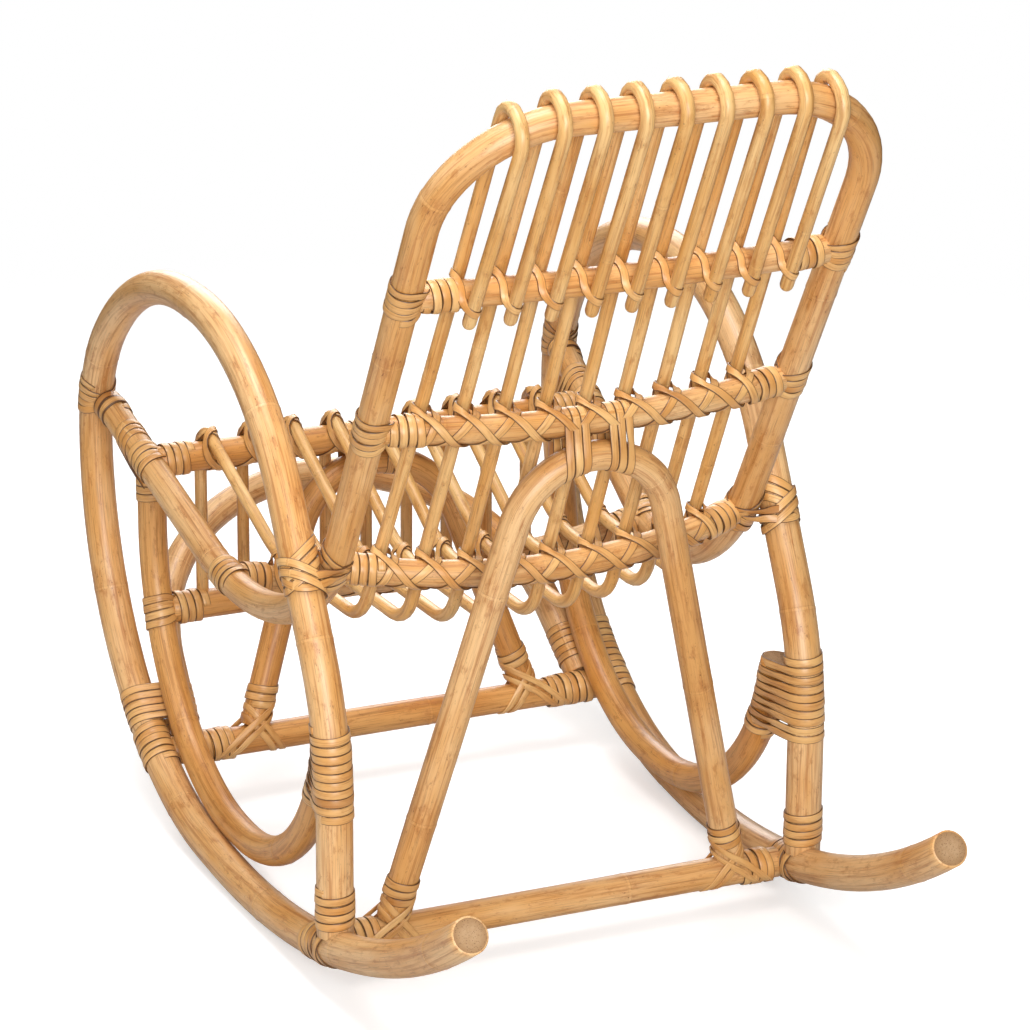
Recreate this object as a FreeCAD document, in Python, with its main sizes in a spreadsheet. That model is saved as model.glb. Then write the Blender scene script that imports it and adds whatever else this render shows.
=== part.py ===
import FreeCAD, Part
import math
import os

# Rattan rocking chair, millimetres. +Z is up, the sitter faces -Y and +X is the sitter's left.
# The origin is on the floor, midway between the two points where the rockers touch it.

Vec = FreeCAD.Vector
doc = FreeCAD.newDocument("rocking_chair")

# Driving sizes, one sheet row each: alias, value, what it measures.
SIZES = [
    ("loop_dia", 35, "side loop pole"),
    ("frame_dia", 30, "back and seat frame pole"),
    ("bow_dia", 30, "under-seat bow pole"),
    ("rail_dia", 30, "seat and floor rails"),
    ("back_rail_dia", 26, "back rails"),
    ("brace_dia", 29, "front and rear brace arches"),
    ("footrest_dia", 32, "footrest arch"),
    ("slat_dia", 13, "slat cane"),
    ("seat_gap", 0.3, "clearance between poles that touch"),
    ("strip_width", 7.2, "rattan peel strip, across"),
    ("strip_thick", 1.4, "rattan peel strip, through"),
    ("strip_space", 0.8, "space between two turns of a lashing"),
    ("lash_gap", 0.8, "space between a lashing and the pole under it"),
    ("pair_slack", 1.9, "more space in the lashing round a bow and a rear leg, whose poles bend"),
    ("loop_half_width", 252.4, "rocker to the middle plane, where it touches the floor"),
    ("loop_toe", 1.78, "degrees that each loop closes in towards the rear"),
    ("front_reach", 401, "front leg, forward of the origin"),
    ("front_bend_radius", 335, "bend from the front leg into the rocker"),
    ("rocker_radius", 900, "bend of the rocker"),
    ("rocker_front_turn", 3.5, "degrees of rocker in front of its lowest point"),
    ("rocker_turn", 35.8, "degrees from the lowest point to the rocker's tail"),
    ("arm_height", 586, "armrest axis above the floor"),
    ("arm_shoulder", 438, "height where the front leg starts to lean back"),
    ("arm_shoulder_radius", 180, "bend of the front leg into the armrest"),
    ("arm_front", -253, "where the armrest becomes level"),
    ("arm_front_radius", 318, "front bend of the armrest"),
    ("arm_rear", 47, "where the armrest starts to fall"),
    ("arm_rear_radius", 257, "rear bend of the armrest"),
    ("rear_leg_y", 230, "rear leg, behind the origin"),
    ("rear_knee", 262, "height where the rear leg starts to lean forward"),
    ("rear_knee_radius", 300, "bend of the rear leg"),
    ("rear_foot_rise", 25, "rear leg's end above the rocker's axis under it"),
    ("seat_joint_height", 410, "seat side rail's front end, on the front leg"),
    ("seat_bend_x", 211, "bend between seat and back, from the middle plane"),
    ("seat_bend_y", 61, "corner of the seat line and the back line"),
    ("seat_bend_z", 238, "corner of the seat line and the back line, height"),
    ("seat_bend_radius", 250, "bend between seat and back"),
    ("back_half_width", 213, "back post to the middle plane"),
    ("back_top_y", 419, "top of the back, behind the origin"),
    ("back_top_z", 874, "top of the back, height"),
    ("back_corner_radius", 115, "top corners of the back"),
    ("upper_rail_z", 702, "upper back rail's ends, height"),
    ("middle_rail_z", 556, "middle back rail's ends, height"),
    ("lower_rail_z", 394, "lower back rail's ends, height"),
    ("upper_rail_bow", 6, "rearward bow of the upper back rail"),
    ("lower_rail_bow", 38, "rearward bow of the lower back rail"),
    ("front_rail_y", -280.5, "front seat rail"),
    ("rear_rail_y", -98, "rear seat rail"),
    ("rear_rail_sag", 26, "sag of the rear seat rail"),
    ("lower_front_z", 197, "front lower rail, height"),
    ("floor_front_y", -234, "front floor rail"),
    ("floor_rear_y", 202, "rear floor rail"),
    ("bow_x", 233, "under-seat bow to the middle plane"),
    ("bow_front", 316, "under-seat bow's front leg, forward of the origin"),
    ("bow_low_front", 74, "front end of the bow's straight run by the rocker, forward of the origin"),
    ("bow_low_rear", 56, "rear end of the bow's straight run by the rocker, forward of the origin"),
    ("bow_rear_radius", 248, "bow's rear bend"),
    ("bow_end_z", 248, "bow's rear end, height"),
    ("rear_brace_half", 182, "rear brace foot to the middle plane"),
    ("rear_brace_radius", 79, "rear brace crown"),
    ("rear_brace_lean", 14, "degrees behind straight down, from the rail to the crown"),
    ("front_brace_half", 158, "front brace foot to the middle plane"),
    ("front_brace_radius", 92, "front brace crown"),
    ("footrest_lean", 50.2, "degrees that the footrest arch leans forward"),
    ("footrest_length", 306, "footrest arch from the floor rail's axis to the crown"),
    ("footrest_top_half", 203, "half width of the footrest arch at its crown line"),
    ("footrest_radius", 215, "footrest arch corners"),
    ("slat_pitch_top", 38, "slat spacing over the top of the back"),
    ("slat_pitch_upper", 39, "slat spacing at the upper back rail"),
    ("slat_pitch_lower", 41, "slat spacing at the lower back rail"),
    ("slat_pitch_rear", 43.5, "slat spacing over the rear seat rail"),
    ("slat_pitch_front", 46, "slat spacing over the front seat rail"),
    ("slat_drop", 88, "slat's lower bend below the lower back rail"),
    ("slat_drop_radius", 52, "slat's lower bend"),
    ("slat_rear_radius", 160, "slat's bend over the rear seat rail"),
    ("slat_back_radius", 300, "slat's slight bend at the upper back rail"),
    ("slat_top_share", 0.93, "slat's bends over the top, as a share of a round one"),
    ("slat_hook_end", 26, "slat's hook below the upper back rail's axis"),
]
SLAT_COUNT = 9
SLAT_SIDES = 8
SIDES = (("left", 1), ("right", -1))

sheet = doc.addObject("Spreadsheet::Sheet", "sizes")
for row, (alias, value, note) in enumerate(SIZES, start=1):
    sheet.set("A%d" % row, note)
    sheet.set("B%d" % row, str(value))
    sheet.setAlias("B%d" % row, alias)
doc.recompute()


def size(alias):
    """A driving size read back from the sheet."""
    return float(sheet.get(alias))


def radius(alias):
    """Half of a driving diameter."""
    return size(alias) / 2


loop_r = radius("loop_dia")
frame_r = radius("frame_dia")
bow_r = radius("bow_dia")
rail_r = radius("rail_dia")
back_rail_r = radius("back_rail_dia")
brace_r = radius("brace_dia")
footrest_r = radius("footrest_dia")
slat_r = radius("slat_dia")
gap = size("seat_gap")
band_clearance = size("lash_gap") + size("strip_thick") + gap


def arc_edge(start, tangent, end):
    """The arc from start to end that leaves start along the tangent, or a line where they are in line."""
    chord = end - start
    along = Vec(chord).normalize()
    turn = tangent.getAngle(along)
    if turn < 1e-5:
        return Part.LineSegment(start, end).toShape()
    side = (tangent - along * tangent.dot(along)).normalize()
    middle = (start + end) * 0.5 + side * (chord.Length / 2 * math.tan(turn / 2))
    return Part.Arc(start, middle, end).toShape()


# Where a run is too short for the bends at its two ends, they share this much of it.
RUN_SHARE = 0.98


def bend_reaches(points, bends):
    """How far each bend reaches along its two runs; bends that share a run too short for them share it."""
    runs = [b.distanceToPoint(a) for a, b in zip(points, points[1:])]
    wanted = [0.0]
    for before, corner, after, bend in zip(points, points[1:], points[2:], bends):
        wanted.append(bend * math.tan((corner - before).getAngle(after - corner) / 2))
    wanted.append(0.0)
    reaches = []
    for i in range(1, len(points) - 1):
        room = min(runs[i - 1] / (wanted[i - 1] + wanted[i]), runs[i] / (wanted[i] + wanted[i + 1]))
        reaches.append(wanted[i] if room > 1 - 1e-6 else wanted[i] * room * RUN_SHARE)
    return reaches


def bent_path(points, bends):
    """A wire of straight runs through the points, rounded at each inner point with its bend radius."""
    edges = []
    here = points[0]
    reaches = bend_reaches(points, bends)
    for before, corner, after, reach in zip(points, points[1:], points[2:], reaches):
        arriving = (corner - before).normalize()
        leaving = (after - corner).normalize()
        first = corner - arriving * reach
        last = corner + leaving * reach
        if first.distanceToPoint(here) > 1e-6:
            edges.append(Part.LineSegment(here, first).toShape())
        edges.append(arc_edge(first, arriving, last))
        here = last
    if points[-1].distanceToPoint(here) > 1e-6:
        edges.append(Part.LineSegment(here, points[-1]).toShape())
    return Part.Wire(edges)


def crossing(path, axis, value, rearmost=False):
    """Point of a path on the +X side where a coordinate has a value, the lowest or the rearmost one."""
    points = path.discretize(Number=4000)
    found = []
    for a, b in zip(points, points[1:]):
        low, high = a[axis] - value, b[axis] - value
        if low * high <= 0 and low != high and a.x >= 0:
            found.append(a + (b - a) * (low / (low - high)))
    if rearmost:
        return max(found, key=lambda point: point.y)
    return min(found, key=lambda point: point.z)


def direction_at(path, point):
    """The unit tangent of a path at the point nearest to the one given, pointing up."""
    points = path.discretize(Number=4000)
    nearest = min(range(1, len(points) - 1), key=lambda i: points[i].distanceToPoint(point))
    tangent = (points[nearest + 1] - points[nearest - 1]).normalize()
    return tangent if tangent.z >= 0 else tangent * -1


def spine(label, path):
    """The bent centre line of a pole, as an object of its own."""
    line = doc.addObject("Part::Feature", label + "_line")
    line.Shape = path
    return line


def pole(label, line, dia_alias, clearance=0.0):
    """A round pole along a centre line, its diameter bound to the sheet."""
    edge = line.Shape.Edges[0]
    start = edge.valueAt(edge.FirstParameter)
    tangent = edge.tangentAt(edge.FirstParameter)
    circle = doc.addObject("Part::Circle", label + "_section")
    circle.setExpression("Radius", "sizes.%s / 2 + %s mm / 1 mm" % (dia_alias, clearance))
    circle.Placement = FreeCAD.Placement(start, FreeCAD.Rotation(Vec(0, 0, 1), tangent))
    sweep = doc.addObject("Part::Sweep", label)
    sweep.Sections = [circle]
    sweep.Spine = (line, ["Edge%d" % (i + 1) for i in range(len(line.Shape.Edges))])
    sweep.Solid = True
    sweep.Frenet = False
    return sweep


def straight_pole(label, start, end, dia_alias):
    """A straight round pole between two points."""
    cylinder = doc.addObject("Part::Cylinder", label)
    cylinder.setExpression("Radius", "sizes.%s / 2" % dia_alias)
    cylinder.Height = start.distanceToPoint(end)
    cylinder.Placement = FreeCAD.Placement(start, FreeCAD.Rotation(Vec(0, 0, 1), end - start))
    return cylinder


def coped(label, blank, *tools):
    """A pole whose ends are cut to sit round the poles that it meets."""
    piece = blank
    for number, tool in enumerate(tools, start=1):
        cut = doc.addObject("Part::Cut", "%s_cope_%d" % (label, number))
        cut.Base = piece
        cut.Tool = tool
        piece = cut
    return piece


parts = {}


def finish(label, piece):
    """Register a document object as a sub-part under its own label."""
    piece.Label = label
    parts[label] = piece


# Side loops: rear leg, armrest, front leg and rocker are one bent pole in a plane that closes in to the rear.
def on_loop(side, y, z):
    toe = math.radians(size("loop_toe"))
    return Vec(side * (size("loop_half_width") - math.sin(toe) * y), math.cos(toe) * y, z)


rocker_turn = math.radians(size("rocker_turn"))
rocker_front_turn = math.radians(size("rocker_front_turn"))
rocker_radius = size("rocker_radius")


def rocker_at(turn):
    """Rocker axis at an angle behind its lowest point."""
    return rocker_radius * math.sin(turn), loop_r + rocker_radius * (1 - math.cos(turn))


front_y, front_z = rocker_at(-rocker_front_turn)
front_run = (front_y + size("front_reach")) / math.cos(rocker_front_turn)
rocker_arm = rocker_radius * math.tan((rocker_turn + rocker_front_turn) / 2)
foot_turn = math.asin(size("rear_leg_y") / rocker_radius)
rear_foot_z = rocker_at(foot_turn)[1] + size("rear_foot_rise")
LOOP_OUTLINE = [
    (size("rear_leg_y"), rear_foot_z),
    (size("rear_leg_y"), size("rear_knee")),
    (size("arm_rear"), size("arm_height")),
    (size("arm_front"), size("arm_height")),
    (-size("front_reach"), size("arm_shoulder")),
    (-size("front_reach"), front_z + front_run * math.sin(rocker_front_turn)),
    (front_y + rocker_arm * math.cos(rocker_front_turn), front_z - rocker_arm * math.sin(rocker_front_turn)),
    rocker_at(rocker_turn),
]
LOOP_BENDS = [
    size("rear_knee_radius"),
    size("arm_rear_radius"),
    size("arm_front_radius"),
    size("arm_shoulder_radius"),
    size("front_bend_radius"),
    rocker_radius,
]
loop_path = {}
loop_clear = {}
for name, side in SIDES:
    loop_path[name] = bent_path([on_loop(side, y, z) for y, z in LOOP_OUTLINE], LOOP_BENDS)
    loop_line = spine("side_loop_" + name, loop_path[name])
    finish("side_loop_" + name, pole("side_loop_" + name, loop_line, "loop_dia"))
    loop_clear[name] = pole("loop_clear_" + name, loop_line, "loop_dia", band_clearance)


# Back and seat frame: one pole from front leg to front leg, seat side rail, bend, post, top and back again.
def frame_half(name, side):
    joint_z = size("seat_joint_height")
    front = [p for p in loop_path[name].discretize(Number=4000) if p.y < 0]
    joint = min(front, key=lambda point: abs(point.z - joint_z))
    bend = Vec(side * size("seat_bend_x"), size("seat_bend_y"), size("seat_bend_z"))
    corner = Vec(side * size("back_half_width"), size("back_top_y"), size("back_top_z"))
    return [joint, bend, corner]


frame_points = frame_half("left", 1) + frame_half("right", -1)[::-1]
frame_bends = [size("seat_bend_radius"), size("back_corner_radius")]
frame_path = bent_path(frame_points, frame_bends + frame_bends[::-1])
frame_line = spine("back_seat_frame", frame_path)
frame_blank = pole("frame_blank", frame_line, "frame_dia")
frame_clear = pole("frame_clear", frame_line, "frame_dia", band_clearance)
finish("back_seat_frame", coped("back_seat_frame", frame_blank, loop_clear["left"], loop_clear["right"]))

back_slope = (frame_points[2] - frame_points[1]).normalize()
back_up = Vec(0, back_slope.y, back_slope.z).normalize()
back_rear = Vec(0, back_up.z, -back_up.y)


# Back rails: bowed to the rear between the posts. The middle bow is between the other two, so that the slats
# lie straight.
def back_rail_end(alias):
    return crossing(frame_path, 2, size(alias), rearmost=True)


upper_end = back_rail_end("upper_rail_z")
middle_end = back_rail_end("middle_rail_z")
lower_end = back_rail_end("lower_rail_z")
middle_share = (upper_end.z - middle_end.z) / (upper_end.z - lower_end.z)
bow_span = size("lower_rail_bow") - size("upper_rail_bow")
BACK_RAILS = (
    ("upper", upper_end, size("upper_rail_bow")),
    ("middle", middle_end, size("upper_rail_bow") + bow_span * middle_share),
    ("lower", lower_end, size("lower_rail_bow")),
)


def mirrored(point):
    return Vec(-point.x, point.y, point.z)


def bowed_path(end, offset):
    """An arc from one side to the other whose middle is moved by the offset."""
    return Part.Wire([Part.Arc(end, Vec(0, end.y, end.z) + offset, mirrored(end)).toShape()])


for name, end, bow in BACK_RAILS:
    label = "back_rail_" + name
    line = spine(label, bowed_path(end, back_rear * bow))
    finish(label, coped(label, pole(label + "_blank", line, "back_rail_dia"), frame_clear))

# Seat rails: the rear one sags under the slats, the front one is straight and carries their bends.
rear_end = crossing(frame_path, 1, size("rear_rail_y"))
rear_rail_line = spine("rear_seat_rail", bowed_path(rear_end, Vec(0, 0, -size("rear_rail_sag"))))
rear_rail_blank = pole("rear_seat_rail_blank", rear_rail_line, "rail_dia")
finish("rear_seat_rail", coped("rear_seat_rail", rear_rail_blank, frame_clear))

front_end = crossing(frame_path, 1, size("front_rail_y"))
front_rail_blank = straight_pole("front_seat_rail_blank", front_end, mirrored(front_end), "rail_dia")
finish("front_seat_rail", coped("front_seat_rail", front_rail_blank, frame_clear))

# Under-seat bows: down from the seat rail, along the inner side of the rocker and up to the rear leg.
bow_touch = loop_r + bow_r + gap
bow_front_radius = size("bow_front") - size("bow_low_front")
bow_rear_radius = size("bow_rear_radius")
seat_line = crossing(frame_path, 1, bow_r - size("bow_front"))
seat_fall = direction_at(frame_path, seat_line)
bow_top_z = seat_line.z - frame_r / math.hypot(seat_fall.x, seat_fall.y) - gap


def bow_outline(side, low_z):
    """Centre line of one bow whose lowest run has the given height."""
    end_turn = math.acos((low_z + bow_rear_radius - size("bow_end_z")) / bow_rear_radius)
    rear_run = -size("bow_low_rear")
    outline = [
        (-size("bow_front"), bow_top_z),
        (-size("bow_front"), low_z),
        (rear_run + bow_rear_radius * math.tan(end_turn / 2), low_z),
        (rear_run + bow_rear_radius * math.sin(end_turn), size("bow_end_z")),
    ]
    points = [Vec(side * size("bow_x"), y, z) for y, z in outline]
    return bent_path(points, [bow_front_radius, bow_rear_radius])


bow_low_z = loop_r + bow_r
for _ in range(6):
    short = bow_touch - bow_outline(1, bow_low_z).distToShape(loop_path["left"])[0]
    bow_low_z += short * 1.2 if short > 0 else 0
bow_path = {}
bow_clear = {}
for name, side in SIDES:
    bow_path[name] = bow_outline(side, bow_low_z)
    bow_line = spine("under_bow_" + name, bow_path[name])
    finish("under_bow_" + name, pole("under_bow_" + name, bow_line, "bow_dia"))
    bow_clear[name] = pole("bow_clear_" + name, bow_line, "bow_dia", band_clearance)

# Front lower rail between the bows, and the two floor rails between the rockers.
bow_front_half = [p for p in bow_path["left"].discretize(Number=4000) if p.y < 0]
lower_front_end = min(bow_front_half, key=lambda point: abs(point.z - size("lower_front_z")))
label = "front_lower_rail"
blank = straight_pole(label + "_blank", lower_front_end, mirrored(lower_front_end), "rail_dia")
finish(label, coped(label, blank, bow_clear["left"], bow_clear["right"]))

FLOOR_RAILS = (("front_floor_rail", "floor_front_y"), ("rear_floor_rail", "floor_rear_y"))
floor_end = {}
floor_clear = {}
for label, alias in FLOOR_RAILS:
    end = crossing(loop_path["left"], 1, size(alias))
    blank = straight_pole(label + "_blank", end, mirrored(end), "rail_dia")
    finish(label, coped(label, blank, loop_clear["left"], loop_clear["right"]))
    clear = straight_pole(label + "_clear", end, mirrored(end), "rail_dia")
    clear.setExpression("Radius", "sizes.rail_dia / 2 + sizes.seat_gap")
    floor_end[label] = end
    floor_clear[label] = clear


# Brace arches: straight legs on a floor rail, joined by a round crown that props another rail.
def arch_apex(half, crown, bend):
    """Height of the corner of two legs whose rounded crown has the given height."""
    ratio = bend / half
    rest = bend - crown
    square = 1 - ratio ** 2
    return (-rest + math.sqrt(rest ** 2 - square * (rest ** 2 - bend ** 2))) / square


def brace_arch(label, foot_rail, crown, half_alias, bend_alias):
    half, bend = size(half_alias), size(bend_alias)
    foot = Vec(0, floor_end[foot_rail].y, floor_end[foot_rail].z)
    rise = crown - foot
    apex = foot + Vec(rise).normalize() * arch_apex(half, rise.Length, bend)
    path = bent_path([foot + Vec(half, 0, 0), apex, foot - Vec(half, 0, 0)], [bend])
    blank = pole(label + "_blank", spine(label, path), "brace_dia")
    finish(label, coped(label, blank, floor_clear[foot_rail]))


middle_rail_bow = BACK_RAILS[1][2]
middle_rail_middle = Vec(0, middle_end.y, middle_end.z) + back_rear * middle_rail_bow
lean = math.radians(size("rear_brace_lean"))
rear_stand = back_rail_r + brace_r + gap
rear_crown = middle_rail_middle + Vec(0, math.sin(lean), -math.cos(lean)) * rear_stand
brace_arch("rear_brace_arch", "rear_floor_rail", rear_crown, "rear_brace_half", "rear_brace_radius")

front_crown = Vec(0, front_end.y, front_end.z - rail_r - brace_r - gap)
brace_arch("front_brace_arch", "front_floor_rail", front_crown, "front_brace_half", "front_brace_radius")

# Footrest arch: leans forward, its feet against the front floor rail and the inner sides of the loops.
footrest_lean = math.radians(size("footrest_lean"))
footrest_up = Vec(0, -math.sin(footrest_lean), math.cos(footrest_lean))
footrest_base = Vec(0, floor_end["front_floor_rail"].y, floor_end["front_floor_rail"].z)
footrest_top = footrest_base + footrest_up * size("footrest_length")
foot_loop = crossing(loop_path["left"], 1, footrest_base.y - rail_r)
foot_half = foot_loop.x - loop_r - footrest_r - band_clearance
top_half = size("footrest_top_half")
foot_tilt = (foot_half - top_half) / size("footrest_length")
footrest_foot = footrest_base + footrest_up * (rail_r + 2 * gap + footrest_r * foot_tilt)
footrest_path = bent_path(
    [
        footrest_foot + Vec(foot_half, 0, 0),
        footrest_top + Vec(top_half, 0, 0),
        footrest_top - Vec(top_half, 0, 0),
        footrest_foot - Vec(foot_half, 0, 0),
    ],
    [size("footrest_radius")] * 2,
)
finish("footrest_arch", pole("footrest_arch", spine("footrest_arch", footrest_path), "footrest_dia"))


# Slats: each cane stands on the front lower rail, bends over the front seat rail, lies along the seat, turns
# up in front of the back rails, bends over the top of the back and ends as a hook behind the upper rail.
front_wrap = rail_r + slat_r + 2 * gap
rail_stand = back_rail_r + slat_r + 2 * gap


def rail_front(end, bow, x, stand):
    """Centre of a slat at one back rail, on the rail's front for a positive stand-off."""
    share = 1 - (x / end.x) ** 2
    return Vec(x, end.y, end.z) + back_rear * (bow * share - stand)


def top_axis(x):
    """Centre of the top of the back over one slat, and the slope of the pole there."""
    corner = size("back_corner_radius")
    past = max(0.0, abs(x) - (size("back_half_width") - corner))
    fall = corner - math.sqrt(corner ** 2 - past ** 2)
    return Vec(x, size("back_top_y"), size("back_top_z")) - back_up * fall, math.asin(past / corner)


def slat_outline(place):
    x_upper = place * size("slat_pitch_upper")
    x_lower = place * size("slat_pitch_lower")
    x_rear = place * size("slat_pitch_rear")
    x_front = place * size("slat_pitch_front")
    x_top = place * size("slat_pitch_top")
    at_upper = rail_front(upper_end, BACK_RAILS[0][2], x_upper, rail_stand)
    at_lower = rail_front(lower_end, BACK_RAILS[2][2], x_lower, rail_stand)
    turn_low = at_lower + (at_lower - at_upper).normalize() * size("slat_drop")
    sag = size("rear_rail_sag") * (1 - (x_rear / rear_end.x) ** 2)
    over_rear = Vec(x_rear, rear_end.y, rear_end.z - sag + front_wrap)
    stand_y = front_end.y - front_wrap
    foot_side = abs(stand_y - lower_front_end.y) - slat_r
    foot_z = lower_front_end.z + math.sqrt((rail_r + gap) ** 2 - max(0.0, foot_side) ** 2)
    rise = front_corner_height(over_rear, stand_y)
    over_front = Vec(x_front, stand_y, front_end.z + rise)
    foot = Vec(x_front, stand_y, foot_z)
    top, slope = top_axis(x_top)
    wrap = frame_r / math.cos(slope) + slat_r + 2 * gap
    top_front = top - back_rear * wrap + back_up * wrap
    top_rear = top + back_rear * wrap + back_up * wrap
    hook = rail_front(upper_end, BACK_RAILS[0][2], x_upper, -rail_stand) - back_up * size("slat_hook_end")
    points = [foot, over_front, over_rear, turn_low, at_upper, top_front, top_rear, hook]
    top_bend = wrap * size("slat_top_share")
    bends = [front_wrap, size("slat_rear_radius"), size("slat_drop_radius"), size("slat_back_radius")]
    bends += [top_bend, top_bend]
    return points, bends


def front_corner_height(over_rear, stand_y):
    """Rise of the corner over the front seat rail whose rounded bend is concentric with the rail."""
    run = over_rear.y - stand_y
    rise = front_wrap
    for _ in range(40):
        slope = math.atan2(front_end.z + rise - over_rear.z, run)
        rise = front_wrap * math.tan((math.pi / 2 + slope) / 2)
    return rise


def slat_section(start, tangent):
    """A many-sided section as large as the cane, square to its path."""
    turn = FreeCAD.Rotation(Vec(0, 0, 1), tangent)
    corners = []
    for corner in range(SLAT_SIDES + 1):
        angle = 2 * math.pi * (corner + 0.5) / SLAT_SIDES
        corners.append(start + turn.multVec(Vec(math.cos(angle), math.sin(angle), 0) * slat_r))
    return Part.makePolygon(corners)


for number in range(SLAT_COUNT):
    label = "slat_%d" % (number + 1)
    points, bends = slat_outline((SLAT_COUNT - 1) / 2 - number)
    path = bent_path(points, bends)
    section = slat_section(points[0], (points[1] - points[0]).normalize())
    slat = doc.addObject("Part::Feature", label)
    slat.Shape = path.makePipeShell([section], True, False)
    finish(label, slat)


# Lashings of rattan peel: each is one unbroken flat strip wound round a pole, or round two side by side.
strip_pitch = size("strip_width") + size("strip_space")
wrap_stand = size("lash_gap") + size("strip_thick") / 2


def ring_runs(reach, bend):
    """Lengths of a ring round two poles: two quarter turns and a straight run, twice."""
    quarter = math.pi * bend / 2
    return [quarter, quarter, 2 * reach, quarter, quarter, 2 * reach]


def ring_point(part, share, reach, bend):
    """Point at a share of one run of the ring, whose poles are at plus and minus reach."""
    if part == 2:
        return reach - 2 * reach * share, bend
    if part == 5:
        return 2 * reach * share - reach, -bend
    half = 1 if part < 2 else -1
    angle = (part % 3 + share) * math.pi / 2 - half * math.pi / 2
    return half * reach + bend * math.cos(angle), bend * math.sin(angle)


def lashing(label, center, axis, across, turns, bend, reach=(0.0, 0.0), shift=(0.0, 0.0)):
    """A strip wound round the axis; reach and shift taper from the first turn to the last."""
    up = Vec(axis).normalize()
    side = (across - up * across.dot(up)).normalize()
    front = up.cross(side)

    runs = ring_runs((reach[0] + reach[1]) / 2, bend)
    starts = [sum(runs[:i]) / sum(runs) for i in range(7)]
    used = [i for i in range(6) if runs[i] > 1e-6]

    def place(travel):
        share = travel / turns
        turn_share = travel % 1.0
        part = max(i for i in used if turn_share >= starts[i] - 1e-12)
        run_share = (turn_share - starts[part]) / (starts[part + 1] - starts[part])
        spread = reach[0] + (reach[1] - reach[0]) * share
        drift = shift[0] + (shift[1] - shift[0]) * share
        u, v = ring_point(part, run_share, spread, bend)
        rise = (travel - turns / 2) * strip_pitch
        return center + side * (u + drift) + front * v + up * rise

    stops = [turn + starts[i] for turn in range(turns) for i in used]
    stops.append(turns - 1e-9)
    step = 1e-5
    spots = [place(stop) for stop in stops]
    ways = []
    for stop in stops:
        low, high = max(stop - step, 0.0), min(stop + step, turns - 1e-9)
        ways.append((place(high) - place(low)).normalize())
    edges = []
    for a, way_a, b, way_b in zip(spots, ways, spots[1:], ways[1:]):
        edges += biarc(a, way_a, b, way_b)
    path = Part.Wire(edges)
    normal = up.cross(ways[0]).normalize()
    wide = up * (size("strip_width") / 2)
    thick = normal * (size("strip_thick") / 2)
    first = spots[0]
    low, high = first - wide, first + wide
    section = Part.makePolygon([low - thick, high - thick, high + thick, low + thick, low - thick])
    shell = Part.BRepOffsetAPI.MakePipeShell(path)
    shell.setBiNormalMode(up)
    shell.add(section)
    shell.build()
    shell.makeSolid()
    strip = doc.addObject("Part::Feature", label)
    strip.Shape = shell.shape()
    finish(label, strip)
    print("%s: least gap between turns %.2f mm" % (label, own_gap(place, turns)))


def biarc(a, way_a, b, way_b):
    """Two arcs that leave a and reach b along the given directions, or one line."""
    chord = b - a
    both = way_a + way_b
    bend = 2 * (1 - way_a.dot(way_b))
    if bend < 1e-8:
        return [Part.LineSegment(a, b).toShape()]
    lead = chord.dot(both)
    arm = (-lead + math.sqrt(lead ** 2 + bend * chord.dot(chord))) / bend
    middle = (a + way_a * arm + b - way_b * arm) * 0.5
    return [arc_edge(a, way_a, middle), arc_edge_to(middle, b, way_b)]


def arc_edge_to(start, end, tangent):
    """The arc from start that reaches end along the tangent."""
    edge = arc_edge(end, tangent * -1, start)
    edge.reverse()
    return edge


def own_gap(place, turns):
    """Least distance between neighbouring turns, measured on points, less the strip's width."""
    points = [place(i / 24) for i in range(24 * turns)]
    pairs = zip(points, points[24:])
    return min(a.distanceToPoint(b) for a, b in pairs) - size("strip_width")


def band(label, path, joint, dia_alias, turns):
    """A lashing round one pole, centred on a joint and, on a bent pole, on the middle of its bow."""
    axis = direction_at(path, joint)
    half = turns * strip_pitch / 2
    points = path.discretize(Number=4000)
    ends = []
    for target in (joint + axis * half, joint - axis * half):
        ends.append(min(points, key=lambda point: point.distanceToPoint(target)))
    center = joint * 0.5 + (ends[0] + ends[1]) * 0.25
    lashing(label, center, axis, Vec(1, 0, 0), turns, radius(dia_alias) + wrap_stand)


def on_side(point, side):
    return point if side > 0 else mirrored(point)


def rear_along(path, height):
    """Point of a path at a height, behind the origin but not on the rocker's tail behind the rear leg."""
    points = [p for p in path.discretize(Number=4000) if 0 < p.y < size("rear_leg_y") + loop_r]
    return min(points, key=lambda point: abs(point.z - height))


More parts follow.
